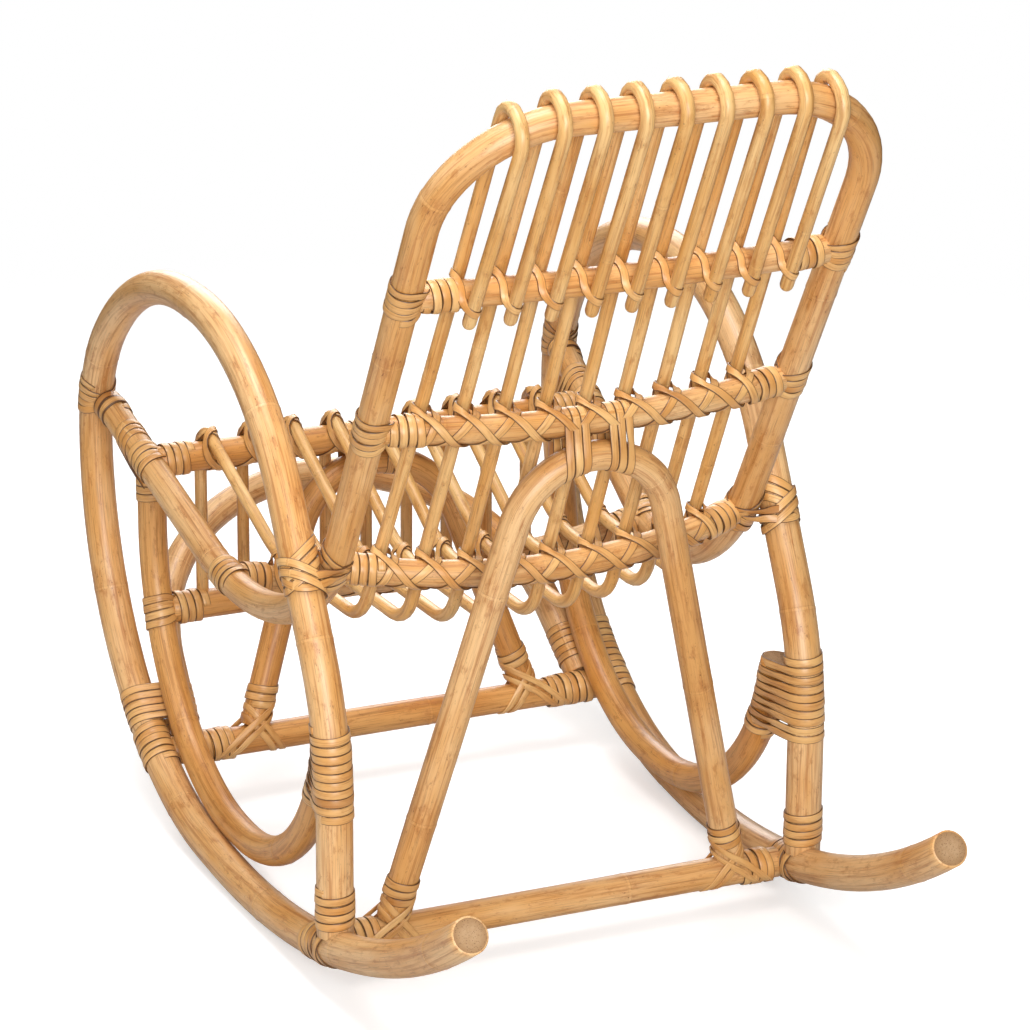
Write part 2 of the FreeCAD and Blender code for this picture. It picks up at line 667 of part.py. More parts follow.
POST_TURNS = 4
SEAT_TURNS = 4
ARM_TURNS = 4
BOW_TURNS = 4
FLOOR_TURNS = 4
FOOT_TURNS = 4
PAIR_TURNS = 8
for name, side in SIDES:
    for rail, end, bow in BACK_RAILS:
        band("lash_back_%s_%s" % (rail, name), frame_path, on_side(end, side), "frame_dia", POST_TURNS)
    band("lash_seat_front_" + name, frame_path, on_side(front_end, side), "frame_dia", SEAT_TURNS)
    band("lash_seat_rear_" + name, frame_path, on_side(rear_end, side), "frame_dia", SEAT_TURNS)
    joint = frame_points[0] if side > 0 else frame_points[-1]
    band("lash_arm_" + name, loop_path[name], joint, "loop_dia", ARM_TURNS)
    band("lash_bow_front_" + name, bow_path[name], on_side(lower_front_end, side), "bow_dia", BOW_TURNS)
    lash_z = bow_top_z - BOW_TURNS * strip_pitch / 2 - strip_pitch
    bow_end = Vec(side * size("bow_x"), -size("bow_front"), lash_z)
    band("lash_bow_top_" + name, bow_path[name], bow_end, "bow_dia", BOW_TURNS)
    for label, end in floor_end.items():
        lash = "lash_%s_%s" % (label.replace("_rail", ""), name)
        band(lash, loop_path[name], on_side(end, side), "loop_dia", FLOOR_TURNS)
    foot_joint = on_loop(side, size("rear_leg_y"), rear_foot_z + FOOT_TURNS * strip_pitch / 2 + strip_pitch)
    band("lash_foot_" + name, loop_path[name], foot_joint, "loop_dia", FOOT_TURNS)

    # The long lashing holds the bow's rear end against the rear leg, wider below where the two part.
    low_z = size("bow_end_z") - PAIR_TURNS * strip_pitch
    low_bow, low_leg = rear_along(bow_path[name], low_z), rear_along(loop_path[name], low_z)
    high_bow = rear_along(bow_path[name], size("bow_end_z"))
    high_leg = rear_along(loop_path[name], size("bow_end_z"))
    low_mid, high_mid = (low_bow + low_leg) * 0.5, (high_bow + high_leg) * 0.5
    center = (low_mid + high_mid) * 0.5
    across = (high_leg - high_bow + low_leg - low_bow)
    across = Vec(across.x, across.y, 0).normalize()
    reach = ((low_leg - low_bow).dot(across) / 2, (high_leg - high_bow).dot(across) / 2)
    shift = ((low_mid - center).dot(across), (high_mid - center).dot(across))
    pair_bend = loop_r + wrap_stand + size("pair_slack")
    lashing("lash_bow_rear_" + name, center, Vec(0, 0, 1), across, PAIR_TURNS, pair_bend, reach, shift)

doc.recompute()
for item in doc.Objects:
    if "Invalid" in item.State or "Error" in item.State:
        raise RuntimeError("failed object: " + item.Name)
os.makedirs("parts", exist_ok=True)
for label, piece in parts.items():
    shape = piece.Shape
    if shape.isNull() or not shape.isValid() or not shape.Solids:
        raise RuntimeError("bad shape: " + label)
    shape.exportStep(os.path.join("parts", label + ".step"))
print("%d sub-parts written" % len(parts))
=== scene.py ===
import bisect
import math
import random

import bmesh
import bpy
from mathutils import Matrix, Vector


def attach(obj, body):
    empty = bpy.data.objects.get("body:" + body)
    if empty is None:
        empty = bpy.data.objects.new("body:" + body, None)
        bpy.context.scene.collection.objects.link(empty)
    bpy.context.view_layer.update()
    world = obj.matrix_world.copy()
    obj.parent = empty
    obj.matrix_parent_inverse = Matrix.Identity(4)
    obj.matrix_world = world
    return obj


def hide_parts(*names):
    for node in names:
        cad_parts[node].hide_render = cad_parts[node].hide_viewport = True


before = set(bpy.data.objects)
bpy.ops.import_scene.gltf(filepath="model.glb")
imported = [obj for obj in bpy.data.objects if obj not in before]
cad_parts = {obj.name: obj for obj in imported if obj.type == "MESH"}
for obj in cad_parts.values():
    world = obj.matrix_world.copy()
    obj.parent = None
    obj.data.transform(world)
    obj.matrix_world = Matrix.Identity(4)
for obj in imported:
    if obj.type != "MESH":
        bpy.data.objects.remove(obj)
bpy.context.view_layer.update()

# Side loops: rear leg, armrest, front leg and rocker are one thick rattan pole, steamed and bent in a jig.
# The skin is left on, sanded and lacquered. The growth rings stay as slight swellings, and the tails are
# sawn square.
MM = 0.001
LOOP_RADIUS = 17.5 * MM
LOOP_CORNERS = [
    (230, 62.0), (230, 262), (47, 586), (-253, 586),
    (-401, 438), (-401, 40.3), (265.8, -0.4), (526.5, 187.5),
]
LOOP_BENDS = [300, 257, 318, 180, 335, 900]
LOOP_TOE = math.radians(1.78)
LOOP_HALF_WIDTH = 252.4
LOOP_SIDES = 32
HANDS = {"left": 1, "right": -1}


class Sock:
    """A shader socket with arithmetic on values; node() adds any other node to its tree."""

    def __init__(self, tree, out=None):
        self.tree = tree
        self.out = out

    def node(self, kind, settings, inputs, output=0):
        made = self.tree.nodes.new(kind)
        for key, value in settings.items():
            if key == "stops":
                ramp = made.color_ramp
                while len(ramp.elements) < len(value):
                    ramp.elements.new(1.0)
                for element, (position, color) in zip(ramp.elements, value):
                    element.position = position
                    element.color = (*color, 1.0)
            else:
                setattr(made, key, value)
        for key, value in inputs.items():
            if isinstance(value, Sock):
                self.tree.links.new(value.out, made.inputs[key])
            else:
                made.inputs[key].default_value = value
        return Sock(self.tree, made.outputs[output]) if len(made.outputs) else None

    def math(self, operation, a, b=0.0):
        return self.node("ShaderNodeMath", {"operation": operation}, {0: a, 1: b})

    def __add__(self, other):
        return self.math("ADD", self, other)

    __radd__ = __add__

    def __sub__(self, other):
        return self.math("SUBTRACT", self, other)

    def __rsub__(self, other):
        return self.math("SUBTRACT", other, self)

    def __mul__(self, other):
        return self.math("MULTIPLY", self, other)

    __rmul__ = __mul__

    def stretch(self, scale):
        return self.node("ShaderNodeVectorMath", {"operation": "MULTIPLY"}, {0: self, 1: scale})

    def noise(self, scale, detail=2.0, rough=0.5):
        cloud = {"Vector": self, "Scale": scale, "Detail": detail, "Roughness": rough}
        return self.node("ShaderNodeTexNoise", {}, cloud)

    def ease(self, low, high):
        """0 below low, 1 above high and a soft step between, or the other way round."""
        spans = {"Value": self, "From Min": low, "From Max": high}
        return self.node("ShaderNodeMapRange", {"interpolation_type": "SMOOTHSTEP"}, spans)

    def blend(self, a, b):
        """Colour a where this mask is 0, colour b where it is 1."""
        ends = {0: self}
        for key, value in ((6, a), (7, b)):
            ends[key] = value if isinstance(value, Sock) else (*value, 1.0)
        return self.node("ShaderNodeMix", {"data_type": "RGBA"}, ends, 2)


def new_material(name):
    material = bpy.data.materials.new(name)
    material.use_nodes = True
    tree = material.node_tree
    tree.nodes.clear()
    return material, Sock(tree)


LACQUER_COAT = 0.35
COAT_ROUGHNESS = 0.30
RELIEF_STRENGTH = 0.6
SKIN_RELIEF = 0.5 * MM
SAWN_RELIEF = 0.6 * MM


def lacquer(sock, color, roughness, height, coat, relief):
    """A lacquered surface from its colour, roughness and height."""
    rise = {"Strength": RELIEF_STRENGTH, "Distance": relief, "Height": height}
    bump = sock.node("ShaderNodeBump", {}, rise)
    finish = {"Base Color": color, "Roughness": roughness, "Normal": bump, "Coat Weight": coat}
    finish.update({"Coat Roughness": COAT_ROUGHNESS, "IOR": 1.5, "Specular IOR Level": 0.5})
    shader = sock.node("ShaderNodeBsdfPrincipled", {}, finish)
    sock.node("ShaderNodeOutputMaterial", {}, {"Surface": shader})


def rattan_skin(name, pale, honey, deep, scar_and_shade):
    """Rattan skin: cloudy honey tones, streaks along the pole, growth rings, small scars, and painted shade
    near one bend.
    """
    material, sock = new_material(name)
    grain = sock.node("ShaderNodeAttribute", {"attribute_name": "grain"}, {}, "Vector")
    ring = sock.node("ShaderNodeAttribute", {"attribute_name": "ring"}, {}, "Fac")
    scorch = sock.node("ShaderNodeAttribute", {"attribute_name": "scorch"}, {}, "Fac")
    cloud = grain.stretch((1, 1, 0.25)).noise(30, 3, 0.6)
    tone = grain.stretch((0.2, 0.2, 1.0)).noise(2.6, 2)
    streak = grain.stretch((1, 1, 0.03)).noise(300, 4, 0.65)
    fibre = grain.stretch((1, 1, 0.02)).noise(1300, 2, 0.6)
    mottle = grain.stretch((1, 1, 0.35)).noise(150, 4, 0.7)
    speck = grain.stretch((1, 1, 0.5)).noise(520, 2, 0.6)
    near = 1 - ring.ease(0.002, 0.030)
    line = 1 - ring.ease(0.0004, 0.0024)
    body = (cloud * 0.6 + tone * 0.4).ease(0.38, 0.62).blend(pale, honey)
    body = (streak.ease(0.46, 0.68) * 0.58).blend(body, deep)
    body = (mottle.ease(0.52, 0.70) * 0.50).blend(body, deep)
    body = (fibre.ease(0.54, 0.70) * 0.36).blend(body, scar_and_shade)
    dirt = speck.ease(0.63, 0.71) * (0.45 + near * 0.5) * mottle.ease(0.42, 0.58)
    body = dirt.blend(body, scar_and_shade)
    body = (near * 0.30 * mottle.ease(0.35, 0.62)).blend(body, deep)
    body = (line * 0.62 * speck.ease(0.36, 0.56)).blend(body, scar_and_shade)
    # Painted shade: the skin darkens towards the scar colour near one bend, where the slat lies on the front
    # seat rail under its ties.
    body = (scorch * mottle.ease(0.40, 0.56) * 0.85).blend(body, scar_and_shade)
    roughness = 0.42 + streak * 0.18 - cloud * 0.08
    height = fibre * 0.35 + streak * 0.5 + mottle * 0.4 - line * 0.8
    lacquer(sock, body, roughness, height, LACQUER_COAT, SKIN_RELIEF)
    return material


def sawn_face(name, pith, rim, pore):
    """A sawn pole end: soft brown pith full of open pores, a little darker to the rim."""
    material, sock = new_material(name)
    place = sock.node("ShaderNodeTexCoord", {}, {}, "Object")
    grain = sock.node("ShaderNodeAttribute", {"attribute_name": "grain"}, {}, "Vector")
    flat = grain.stretch((1, 1, 0))
    out = sock.node("ShaderNodeVectorMath", {"operation": "LENGTH"}, {0: flat}, "Value")
    cells = sock.node("ShaderNodeTexVoronoi", {}, {"Vector": place, "Scale": 620.0}, "Distance")
    dust = place.noise(140, 4, 0.7)
    body = out.ease(0.006, 0.0165).blend(pith, rim)
    body = (dust.ease(0.42, 0.66) * 0.5).blend(body, rim)
    body = ((1 - cells.ease(0.10, 0.34)) * 0.8).blend(body, pore)
    lacquer(sock, body, 0.72 + dust * 0.12, cells, 0.0, SAWN_RELIEF)
    return material


POLE_SKIN = rattan_skin(
    "rattan_pole",
    pale=(0.78, 0.485, 0.222),
    honey=(0.66, 0.325, 0.092),
    deep=(0.36, 0.104, 0.010),
    scar_and_shade=(0.11, 0.030, 0.005),
)
SAWN_END = sawn_face(
    "sawn_end",
    pith=(0.42, 0.262, 0.135),
    rim=(0.31, 0.170, 0.072),
    pore=(0.10, 0.048, 0.018),
)
BEND_STEP = 1.5


def bent_line(corners, bends):
    """Centre line of a bent pole, in metres: straight runs, and at each corner a bend of its own radius."""
    points = [Vector(corner) * MM for corner in corners]
    line = [points[0]]
    for before, corner, after, bend in zip(points, points[1:], points[2:], bends):
        arriving = (corner - before).normalized()
        leaving = (after - corner).normalized()
        turn = arriving.angle(leaving)
        start = corner - arriving * (bend * MM * math.tan(turn / 2))
        hub = corner + (leaving - arriving).normalized() * (bend * MM / math.cos(turn / 2))
        axis = arriving.cross(leaving).normalized()
        count = max(3, math.ceil(math.degrees(turn) / BEND_STEP))
        for i in range(count + 1):
            line.append(hub + Matrix.Rotation(turn * i / count, 3, axis) @ (start - hub))
    line.append(points[-1])
    return line


def measure(line):
    """Running length at each point of a line."""
    marks = [0.0]
    for a, b in zip(line, line[1:]):
        marks.append(marks[-1] + (b - a).length)
    return marks


def walk(line, marks, stations):
    """Points at the given lengths along a line."""
    points = []
    i = 0
    for station in stations:
        while i < len(marks) - 2 and marks[i + 1] < station:
            i += 1
        span = max(marks[i + 1] - marks[i], 1e-9)
        points.append(line[i].lerp(line[i + 1], min(1.0, (station - marks[i]) / span)))
    return points


def evenly(line, step):
    """The same line with points at even steps."""
    marks = measure(line)
    count = math.ceil(marks[-1] / step)
    return walk(line, marks, [marks[-1] * i / count for i in range(count + 1)])


def frames_along(points):
    """Turning frames that don't twist along a line of points: side, front and way at each point."""
    ways = []
    for i in range(len(points)):
        ways.append((points[min(i + 1, len(points) - 1)] - points[max(i - 1, 0)]).normalized())
    side = ways[0].orthogonal().normalized()
    frames = []
    for way in ways:
        side = (side - way * side.dot(way)).normalized()
        frames.append((side, way.cross(side), way))
    return frames


def stand(axes, place, across, through):
    """A matrix that lays a unit circle across a line, with its own half sizes."""
    side, front, way = axes
    columns = (side * across, front * through, way * across, place)
    return Matrix([[column[row] for column in columns] for row in range(3)] + [[0, 0, 0, 1]])


def grained_mesh():
    """An empty mesh whose vertices keep their place along the grain, their nearest ring and any painted shade
    near a bend.
    """
    mesh = bmesh.new()
    mesh.verts.layers.float_vector.new("grain")
    mesh.verts.layers.float.new("ring")
    mesh.verts.layers.float.new("scorch")
    return mesh


def grow_ring(mesh, edges):
    """Extrude an open rim once: the new vertices and the edges of the new rim."""
    made = bmesh.ops.extrude_edge_only(mesh, edges=edges)["geom"]
    ring = [item for item in made if isinstance(item, bmesh.types.BMVert)]
    rim = set(ring)
    edges = [item for item in made if isinstance(item, bmesh.types.BMEdge) and set(item.verts) <= rim]
    return ring, edges


def sweep(mesh, stands, sides, marks, shift=0.0, loop=False, square=1.0):
    """Extrude a section from stand to stand and note the grain; square below 1 makes the section boxier."""
    grain = mesh.verts.layers.float_vector["grain"]
    made = bmesh.ops.create_circle(mesh, cap_ends=False, segments=sides, radius=1.0, matrix=stands[0])
    ring = made["verts"]
    if square < 1.0:
        back = stands[0].inverted()
        for vert in ring:
            spot = back @ vert.co
            flat = [math.copysign(abs(value) ** square, value) for value in spot[:2]]
            vert.co = stands[0] @ Vector((*flat, spot.z))
    first = list(dict.fromkeys(edge for vert in ring for edge in vert.link_edges))
    edges = first
    rings = [ring]
    for before, after in zip(stands, stands[1:]):
        ring, edges = grow_ring(mesh, edges)
        move = after @ before.inverted()
        for vert in ring:
            vert.co = move @ vert.co
        rings.append(ring)
    for ring, matrix, mark in zip(rings, stands, marks):
        back = matrix.inverted()
        across = matrix.col[0].to_3d().length
        through = matrix.col[1].to_3d().length
        for vert in ring:
            spot = back @ vert.co
            vert[grain] = (spot.x * across, spot.y * through, mark + shift)
    if loop:
        bmesh.ops.bridge_loops(mesh, edges=first + edges)
    return rings, first, edges


def close_end(mesh, edges, center, way, steps, index):
    """Close an open end with a rim of steps (share of the radius, rise) and one face across it."""
    grain = mesh.verts.layers.float_vector["grain"]
    share_before = 1.0
    rise_before = 0.0
    for share, rise in steps:
        source = {vert: Vector(vert[grain]) for edge in edges for vert in edge.verts}
        ring, edges = grow_ring(mesh, edges)
        factor = share / share_before
        for vert in ring:
            near = min(source, key=lambda other: (other.co - vert.co).length_squared)
            vert[grain] = source[near] * factor
            vert[grain].z = source[near].z
        hub = center + way * rise_before
        bmesh.ops.scale(mesh, vec=(factor,) * 3, space=Matrix.Translation(-hub), verts=ring)
        bmesh.ops.translate(mesh, vec=way * (rise - rise_before), verts=ring)
        share_before, rise_before = share, rise
    face = bmesh.ops.contextual_create(mesh, geom=edges)["faces"][0]
    face.material_index = index
    face.smooth = False


SAWN = [(0.975, 0.0005), (0.93, 0.0010), (0.90, 0.0011)]
ROUNDED = [(0.94, 0.0020), (0.78, 0.0040), (0.52, 0.0054), (0.22, 0.0061)]
POLE_SIDES = 26
POLE_STEP = 12 * MM
RING_GAP = (0.17, 0.33)
RING_SWELL = [(-9, 0.0), (-4, 0.08), (-1.6, 0.26), (0, 0.34), (1.4, 0.06), (4, -0.06), (9, 0.0)]
FIRST_RING = 40 * MM
LAST_RING = 30 * MM
RING_CLEAR = 10 * MM
RING_FAR = 60 * MM
FULL_SWELL_RADIUS = 12 * MM
SLOW_WAVE = (0.008, 8.3)
QUICK_WAVE = (0.006, 21)
# How far the painted shade at a slat's bend reaches.
BEND_SHADE_REACH = 42 * MM
LINE_STEP = 4 * MM
GRAIN_SHIFT = 60
lines = {}


def finish_piece(name, mesh, materials, nodes=()):
    """Turn a bmesh into a piece that rides on the chair and stands for its solids."""
    bmesh.ops.recalc_face_normals(mesh, faces=mesh.faces)
    data = bpy.data.meshes.new(name)
    mesh.to_mesh(data)
    mesh.free()
    piece = bpy.data.objects.new(name, data)
    bpy.context.scene.collection.objects.link(piece)
    for material in materials:
        data.materials.append(material)
    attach(piece, "root")
    if nodes:
        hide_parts(*nodes)


def grow_pole(
    name, line, radius, materials,
    sides=POLE_SIDES, step=POLE_STEP, ends=(SAWN, SAWN), ring_gap=RING_GAP, shaded_bend=None,
):
    """A rattan pole along a line, slightly uneven, with swollen growth rings, and painted shade near one place.
    """
    lines[name] = (evenly(line, LINE_STEP), radius)
    rng = random.Random(name)
    marks = measure(line)
    length = marks[-1]
    rings = []
    spot = rng.uniform(FIRST_RING, ring_gap[1])
    while spot < length - LAST_RING:
        rings.append(spot)
        spot += rng.uniform(*ring_gap)
    count = math.ceil(length / step)
    swell = {length * i / count: 0.0 for i in range(count + 1)}
    for ring in rings:
        for mark in list(swell):
            if abs(mark - ring) <= RING_CLEAR and mark not in (0.0, length):
                del swell[mark]
        for offset, size in RING_SWELL:
            swell[ring + offset * MM] = size * MM * min(1.0, radius / FULL_SWELL_RADIUS)
    stations = sorted(swell)
    points = walk(line, marks, stations)
    axes = frames_along(points)
    wave = rng.uniform(0, 6.28)
    stands = []
    for axis, point, station in zip(axes, points, stations):
        uneven = SLOW_WAVE[0] * math.sin(station * SLOW_WAVE[1] + wave)
        uneven += QUICK_WAVE[0] * math.sin(station * QUICK_WAVE[1] + 2 * wave)
        girth = radius * (1 + uneven) + swell[station]
        stands.append(stand(axis, point, girth, girth))
    mesh = grained_mesh()
    loops, first, last = sweep(mesh, stands, sides, stations, rng.uniform(0, GRAIN_SHIFT))
    near = mesh.verts.layers.float["ring"]
    bend_shade_layer = mesh.verts.layers.float["scorch"]
    for loop, station, point in zip(loops, stations, points):
        distance = min([abs(station - ring) for ring in rings] + [RING_FAR])
        # Painted shade near the given bend, fading out with distance.
        bend_shade_amount = max(0.0, 1 - (point - shaded_bend).length / BEND_SHADE_REACH) if shaded_bend else 0.0
        for vert in loop:
            vert[near] = distance
            vert[bend_shade_layer] = bend_shade_amount
    for face in mesh.faces:
        face.smooth = True
    close_end(mesh, first, points[0], -axes[0][2], ends[0], 1)
    close_end(mesh, last, points[-1], axes[-1][2], ends[1], 1)
    for vert in mesh.verts:  # a ring's crest stays clear between its two fine lines
        vert[near] = vert[near] or RING_FAR
    finish_piece(name, mesh, materials, [name])


def on_loop(hand, y, z):
    """A point in the plane of one loop, which closes in a little towards the rear."""
    return hand * (LOOP_HALF_WIDTH - math.sin(LOOP_TOE) * y), math.cos(LOOP_TOE) * y, z


for side, hand in HANDS.items():
    corners = [on_loop(hand, y, z) for y, z in LOOP_CORNERS]
    line = bent_line(corners, LOOP_BENDS)
    grow_pole("side_loop_" + side, line, LOOP_RADIUS, (POLE_SKIN, SAWN_END), LOOP_SIDES)

# Under-seat bows: one rattan pole on each side, bent like a J, from the seat's front corner down beside the
# rocker and up to the rear leg. It is lashed at both ends, stiffens the side and carries the front lower rail.
BOW_RADIUS = 15 * MM
# A darker, redder copy of the pole skin, with painted shade in its colour: it goes on the bows, the front rails
# and the front brace arch, which sit in the chair's shade.
SHADED_POLE_SKIN = rattan_skin(
    "rattan_pole_painted_shade",
    pale=(0.71, 0.360, 0.106),
    honey=(0.585, 0.242, 0.046),
    deep=(0.33, 0.096, 0.009),
    scar_and_shade=(0.10, 0.030, 0.005),
)
BOW_X = 233
BOW_CORNERS = [(-316, 358), (-316, 45.1), (133.1, 45.1), (187.9, 248)]
BOW_BENDS = [242, 248]
for side, hand in HANDS.items():
    corners = [(hand * BOW_X, y, z) for y, z in BOW_CORNERS]
    line = bent_line(corners, BOW_BENDS)
    grow_pole("under_bow_" + side, line, BOW_RADIUS, (SHADED_POLE_SKIN, SAWN_END))

# Back and seat frame: a single long rattan pole, front leg to front leg, bent into seat side rails, back posts
# and top rail. Its two front ends are cut to the round of the front legs and lashed there.
FRAME_RADIUS = 15 * MM
FRAME_HALF = [(258.9, -378, 404), (211, 61, 238), (213, 419, 874)]
FRAME_BENDS = [250, 115, 115, 250]
frame_corners = FRAME_HALF + [(-x, y, z) for x, y, z in FRAME_HALF[::-1]]
frame_line = bent_line(frame_corners, FRAME_BENDS)
grow_pole("back_seat_frame", frame_line, FRAME_RADIUS, (POLE_SKIN, SAWN_END))

# Back rails: three thinner rattan poles between the posts, bowed to the rear so that the back is hollow for
# the sitter. Their ends are cut round the posts and lashed.
BACK_RAIL_RADIUS = 13 * MM
BACK_REAR = Vector((0, 0.8714, -0.4905))
BACK_RAIL_SIDES = 24
RAIL_TRIM = 13
BOW_STEPS = 80
BACK_RAILS = {
    "upper": ((212.5, 322.2, 702.0), 6.0),
    "middle": ((212.0, 240.0, 556.0), 21.2),
    "lower": ((211.8, 145.6, 394.0), 38.0),
}


def bowed_line(end, offset, trim):
    """An arc from side to side through a middle that is moved by the offset, its ends trimmed."""
    half = end[0] * MM
    bow = offset.length
    radius = (half ** 2 + bow ** 2) / (2 * bow)
    turn = math.asin(half / radius) * (1 - trim * MM / half)
    base = Vector((0, end[1], end[2])) * MM
    line = []
    for i in range(BOW_STEPS + 1):
        angle = turn * (1 - 2 * i / BOW_STEPS)
        depth = 1 - radius * (1 - math.cos(angle)) / bow
        line.append(base + Vector((radius * math.sin(angle), 0, 0)) + offset * depth)
    return line


for place, (end, bow) in BACK_RAILS.items():
    name = "back_rail_" + place
    line = bowed_line(end, BACK_REAR * bow * MM, RAIL_TRIM)
    grow_pole(name, line, BACK_RAIL_RADIUS, (POLE_SKIN, SAWN_END), BACK_RAIL_SIDES)

# Seat and floor rails: straight rattan poles, but for the rear seat rail, which sags under the slats. The slats
# bend over the front seat rail. Lower down, one rail joins the bows and two join the rockers; all are lashed.
RAIL_RADIUS = 15 * MM
RAIL_STEPS = 60
REAR_RAIL_END = (229.9, -98.0, 301.8)
REAR_RAIL_SAG = Vector((0, 0, -26 * MM))
rear_rail_line = bowed_line(REAR_RAIL_END, REAR_RAIL_SAG, RAIL_TRIM)
grow_pole("rear_seat_rail", rear_rail_line, RAIL_RADIUS, (POLE_SKIN, SAWN_END))
STRAIGHT_RAILS = {
    "front_seat_rail": (238.5, -280.5, 366.7),
    "front_lower_rail": (220.5, -298.6, 197.0),
    "front_floor_rail": (244.5, -234.0, 65.7),
    "rear_floor_rail": (231.0, 202.0, 40.5),
}
for name, (x, y, z) in STRAIGHT_RAILS.items():
    line = [Vector((x * (1 - 2 * i / RAIL_STEPS), y, z)) * MM for i in range(RAIL_STEPS + 1)]
    # The front rails take the darker copy of the skin with painted shade; the rear floor rail keeps the plain
    # skin.
    skin = POLE_SKIN if name == "rear_floor_rail" else SHADED_POLE_SKIN
    grow_pole(name, line, RAIL_RADIUS, (skin, SAWN_END))

# Brace arches and footrest: three bent rattan poles. The rear arch stands on the rear floor rail and props the
# middle back rail, the front arch stands on the front floor rail and props the front seat rail, and the third
# leans forward from the rockers as a footrest.
BRACE_RADIUS = 14.5 * MM
FOOTREST_RADIUS = 16 * MM
ARCHES = {
    "rear_brace_arch": (
        [(178.2, 204.0, 55.5), (0, 296.1, 752.9), (-178.2, 204.0, 55.5)],
        [79],
        BRACE_RADIUS,
    ),
    "front_brace_arch": (
        [(153.1, -236.5, 80.2), (0, -314.2, 533.3), (-153.1, -236.5, 80.2)],
        [92],
        BRACE_RADIUS,
    ),
    "footrest_arch": (
        [(224.1, -246.8, 76.4), (203, -469.1, 261.6), (-203, -469.1, 261.6), (-224.1, -246.8, 76.4)],
        [215, 215],
        FOOTREST_RADIUS,
    ),
}
for name, (corners, bends, radius) in ARCHES.items():
    # The front brace arch takes the darker copy of the skin with painted shade.
    skin = SHADED_POLE_SKIN if name == "front_brace_arch" else POLE_SKIN
    grow_pole(name, bent_line(corners, bends), radius, (skin, SAWN_END))

# Slats: thin cane, each one unbroken from the front lower rail over the seat and up the back. It is bent over
# the front seat rail and the top rail while hot, and ends as a rounded hook behind the upper back rail.
SLAT_RADIUS = 6.4 * MM
SLAT_SKIN = rattan_skin(
    "slat_cane",
    pale=(0.80, 0.510, 0.212),
    honey=(0.68, 0.352, 0.096),
    deep=(0.40, 0.135, 0.014),
    scar_and_shade=(0.09, 0.028, 0.005),
)
SLAT_SIDES = 14
SLAT_STEP = 10 * MM
SLAT_RING_GAP = (0.20, 0.42)
SLAT_COUNT = 9
OUTER_PLACE = (SLAT_COUNT - 1) / 2
NEXT_SHARE = 0.75
SLAT_PITCH = [46, 46, 43.5, 41.5, 39, 38, 38, 39]
SLAT_OUTER = [
    (-302.6, 212.3), (-302.6, 400.2), (-98, 312.8), (100.3, 318.6),
    (307.1, 710.5), (403.2, 895.1), (445.2, 871.4), (334.1, 676.4),
]
SLAT_NEXT = [
    (-302.6, 212.3), (-302.6, 401.3), (-98, 306.3), (110.9, 312.7),
    (308.3, 709.8), (410.0, 903.3), (448.8, 881.5), (335.3, 675.7),
]
SLAT_MIDDLE = [
    (-302.6, 212.3), (-302.6, 402.9), (-98, 297.9), (124.5, 305.3),
    (309.9, 708.9), (410.6, 904.1), (449.1, 882.4), (336.9, 674.8),
]
SLAT_BENDS = [22.1, 160, 52, 300, 20.6, 20.6]


def slat_corners(place):
    """Corners of one slat's line; the rails' bow moves each slat by the square of its place."""
    corners = []
    for pitch, outer, after, middle in zip(SLAT_PITCH, SLAT_OUTER, SLAT_NEXT, SLAT_MIDDLE):
        far = abs(place) / OUTER_PLACE
        if far <= NEXT_SHARE:
            share = (far / NEXT_SHARE) ** 2
            ends = (middle, after)
        else:
            share = 1.0
            ends = (after, outer)
        y, z = (a + (b - a) * share for a, b in zip(*ends))
        corners.append((place * pitch, y, z))
    return corners


# Each slat gets painted shade where it bends over the front seat rail.
for number in range(SLAT_COUNT):
    corners = slat_corners(OUTER_PLACE - number)
    grow_pole(
        "slat_%d" % (number + 1),
        bent_line(corners, SLAT_BENDS),
        SLAT_RADIUS,
        (SLAT_SKIN, SAWN_END),
        SLAT_SIDES,
        SLAT_STEP,
        ends=(SAWN, ROUNDED),
        ring_gap=SLAT_RING_GAP,
        shaded_bend=Vector(corners[1]) * MM,
    )

# Lashings: wet strips of rattan peel are wound tight round each joint, over and between the poles, and dry
# hard. The winding lies edge to edge on the main pole, a second one binds the rail's end, and the tails are
# tucked under.
STRIP_WIDTH = 8.2 * MM
STRIP_THICK = 1.6 * MM
STRIP_PITCH = 8.3 * MM
STRIP_SIDES = 10
STRIP_SQUARE = 0.5
STRIP_SHIFT = 40
RING_STEPS = 36
BELT_STEPS = 64
JOINT_REACH = 0.11
PAST_END = 0.5 * MM
LEAST_TAPER = 0.1
LEAST_LEAN = 0.2
OVAL_LEAN = 0.3
SWAY = 0.7
RIPPLE = 0.35
PILE = 0.45
PINCH_SHARE = 0.5
TUCK_STEPS = 4
PEEL_RELIEF = 0.4 * MM


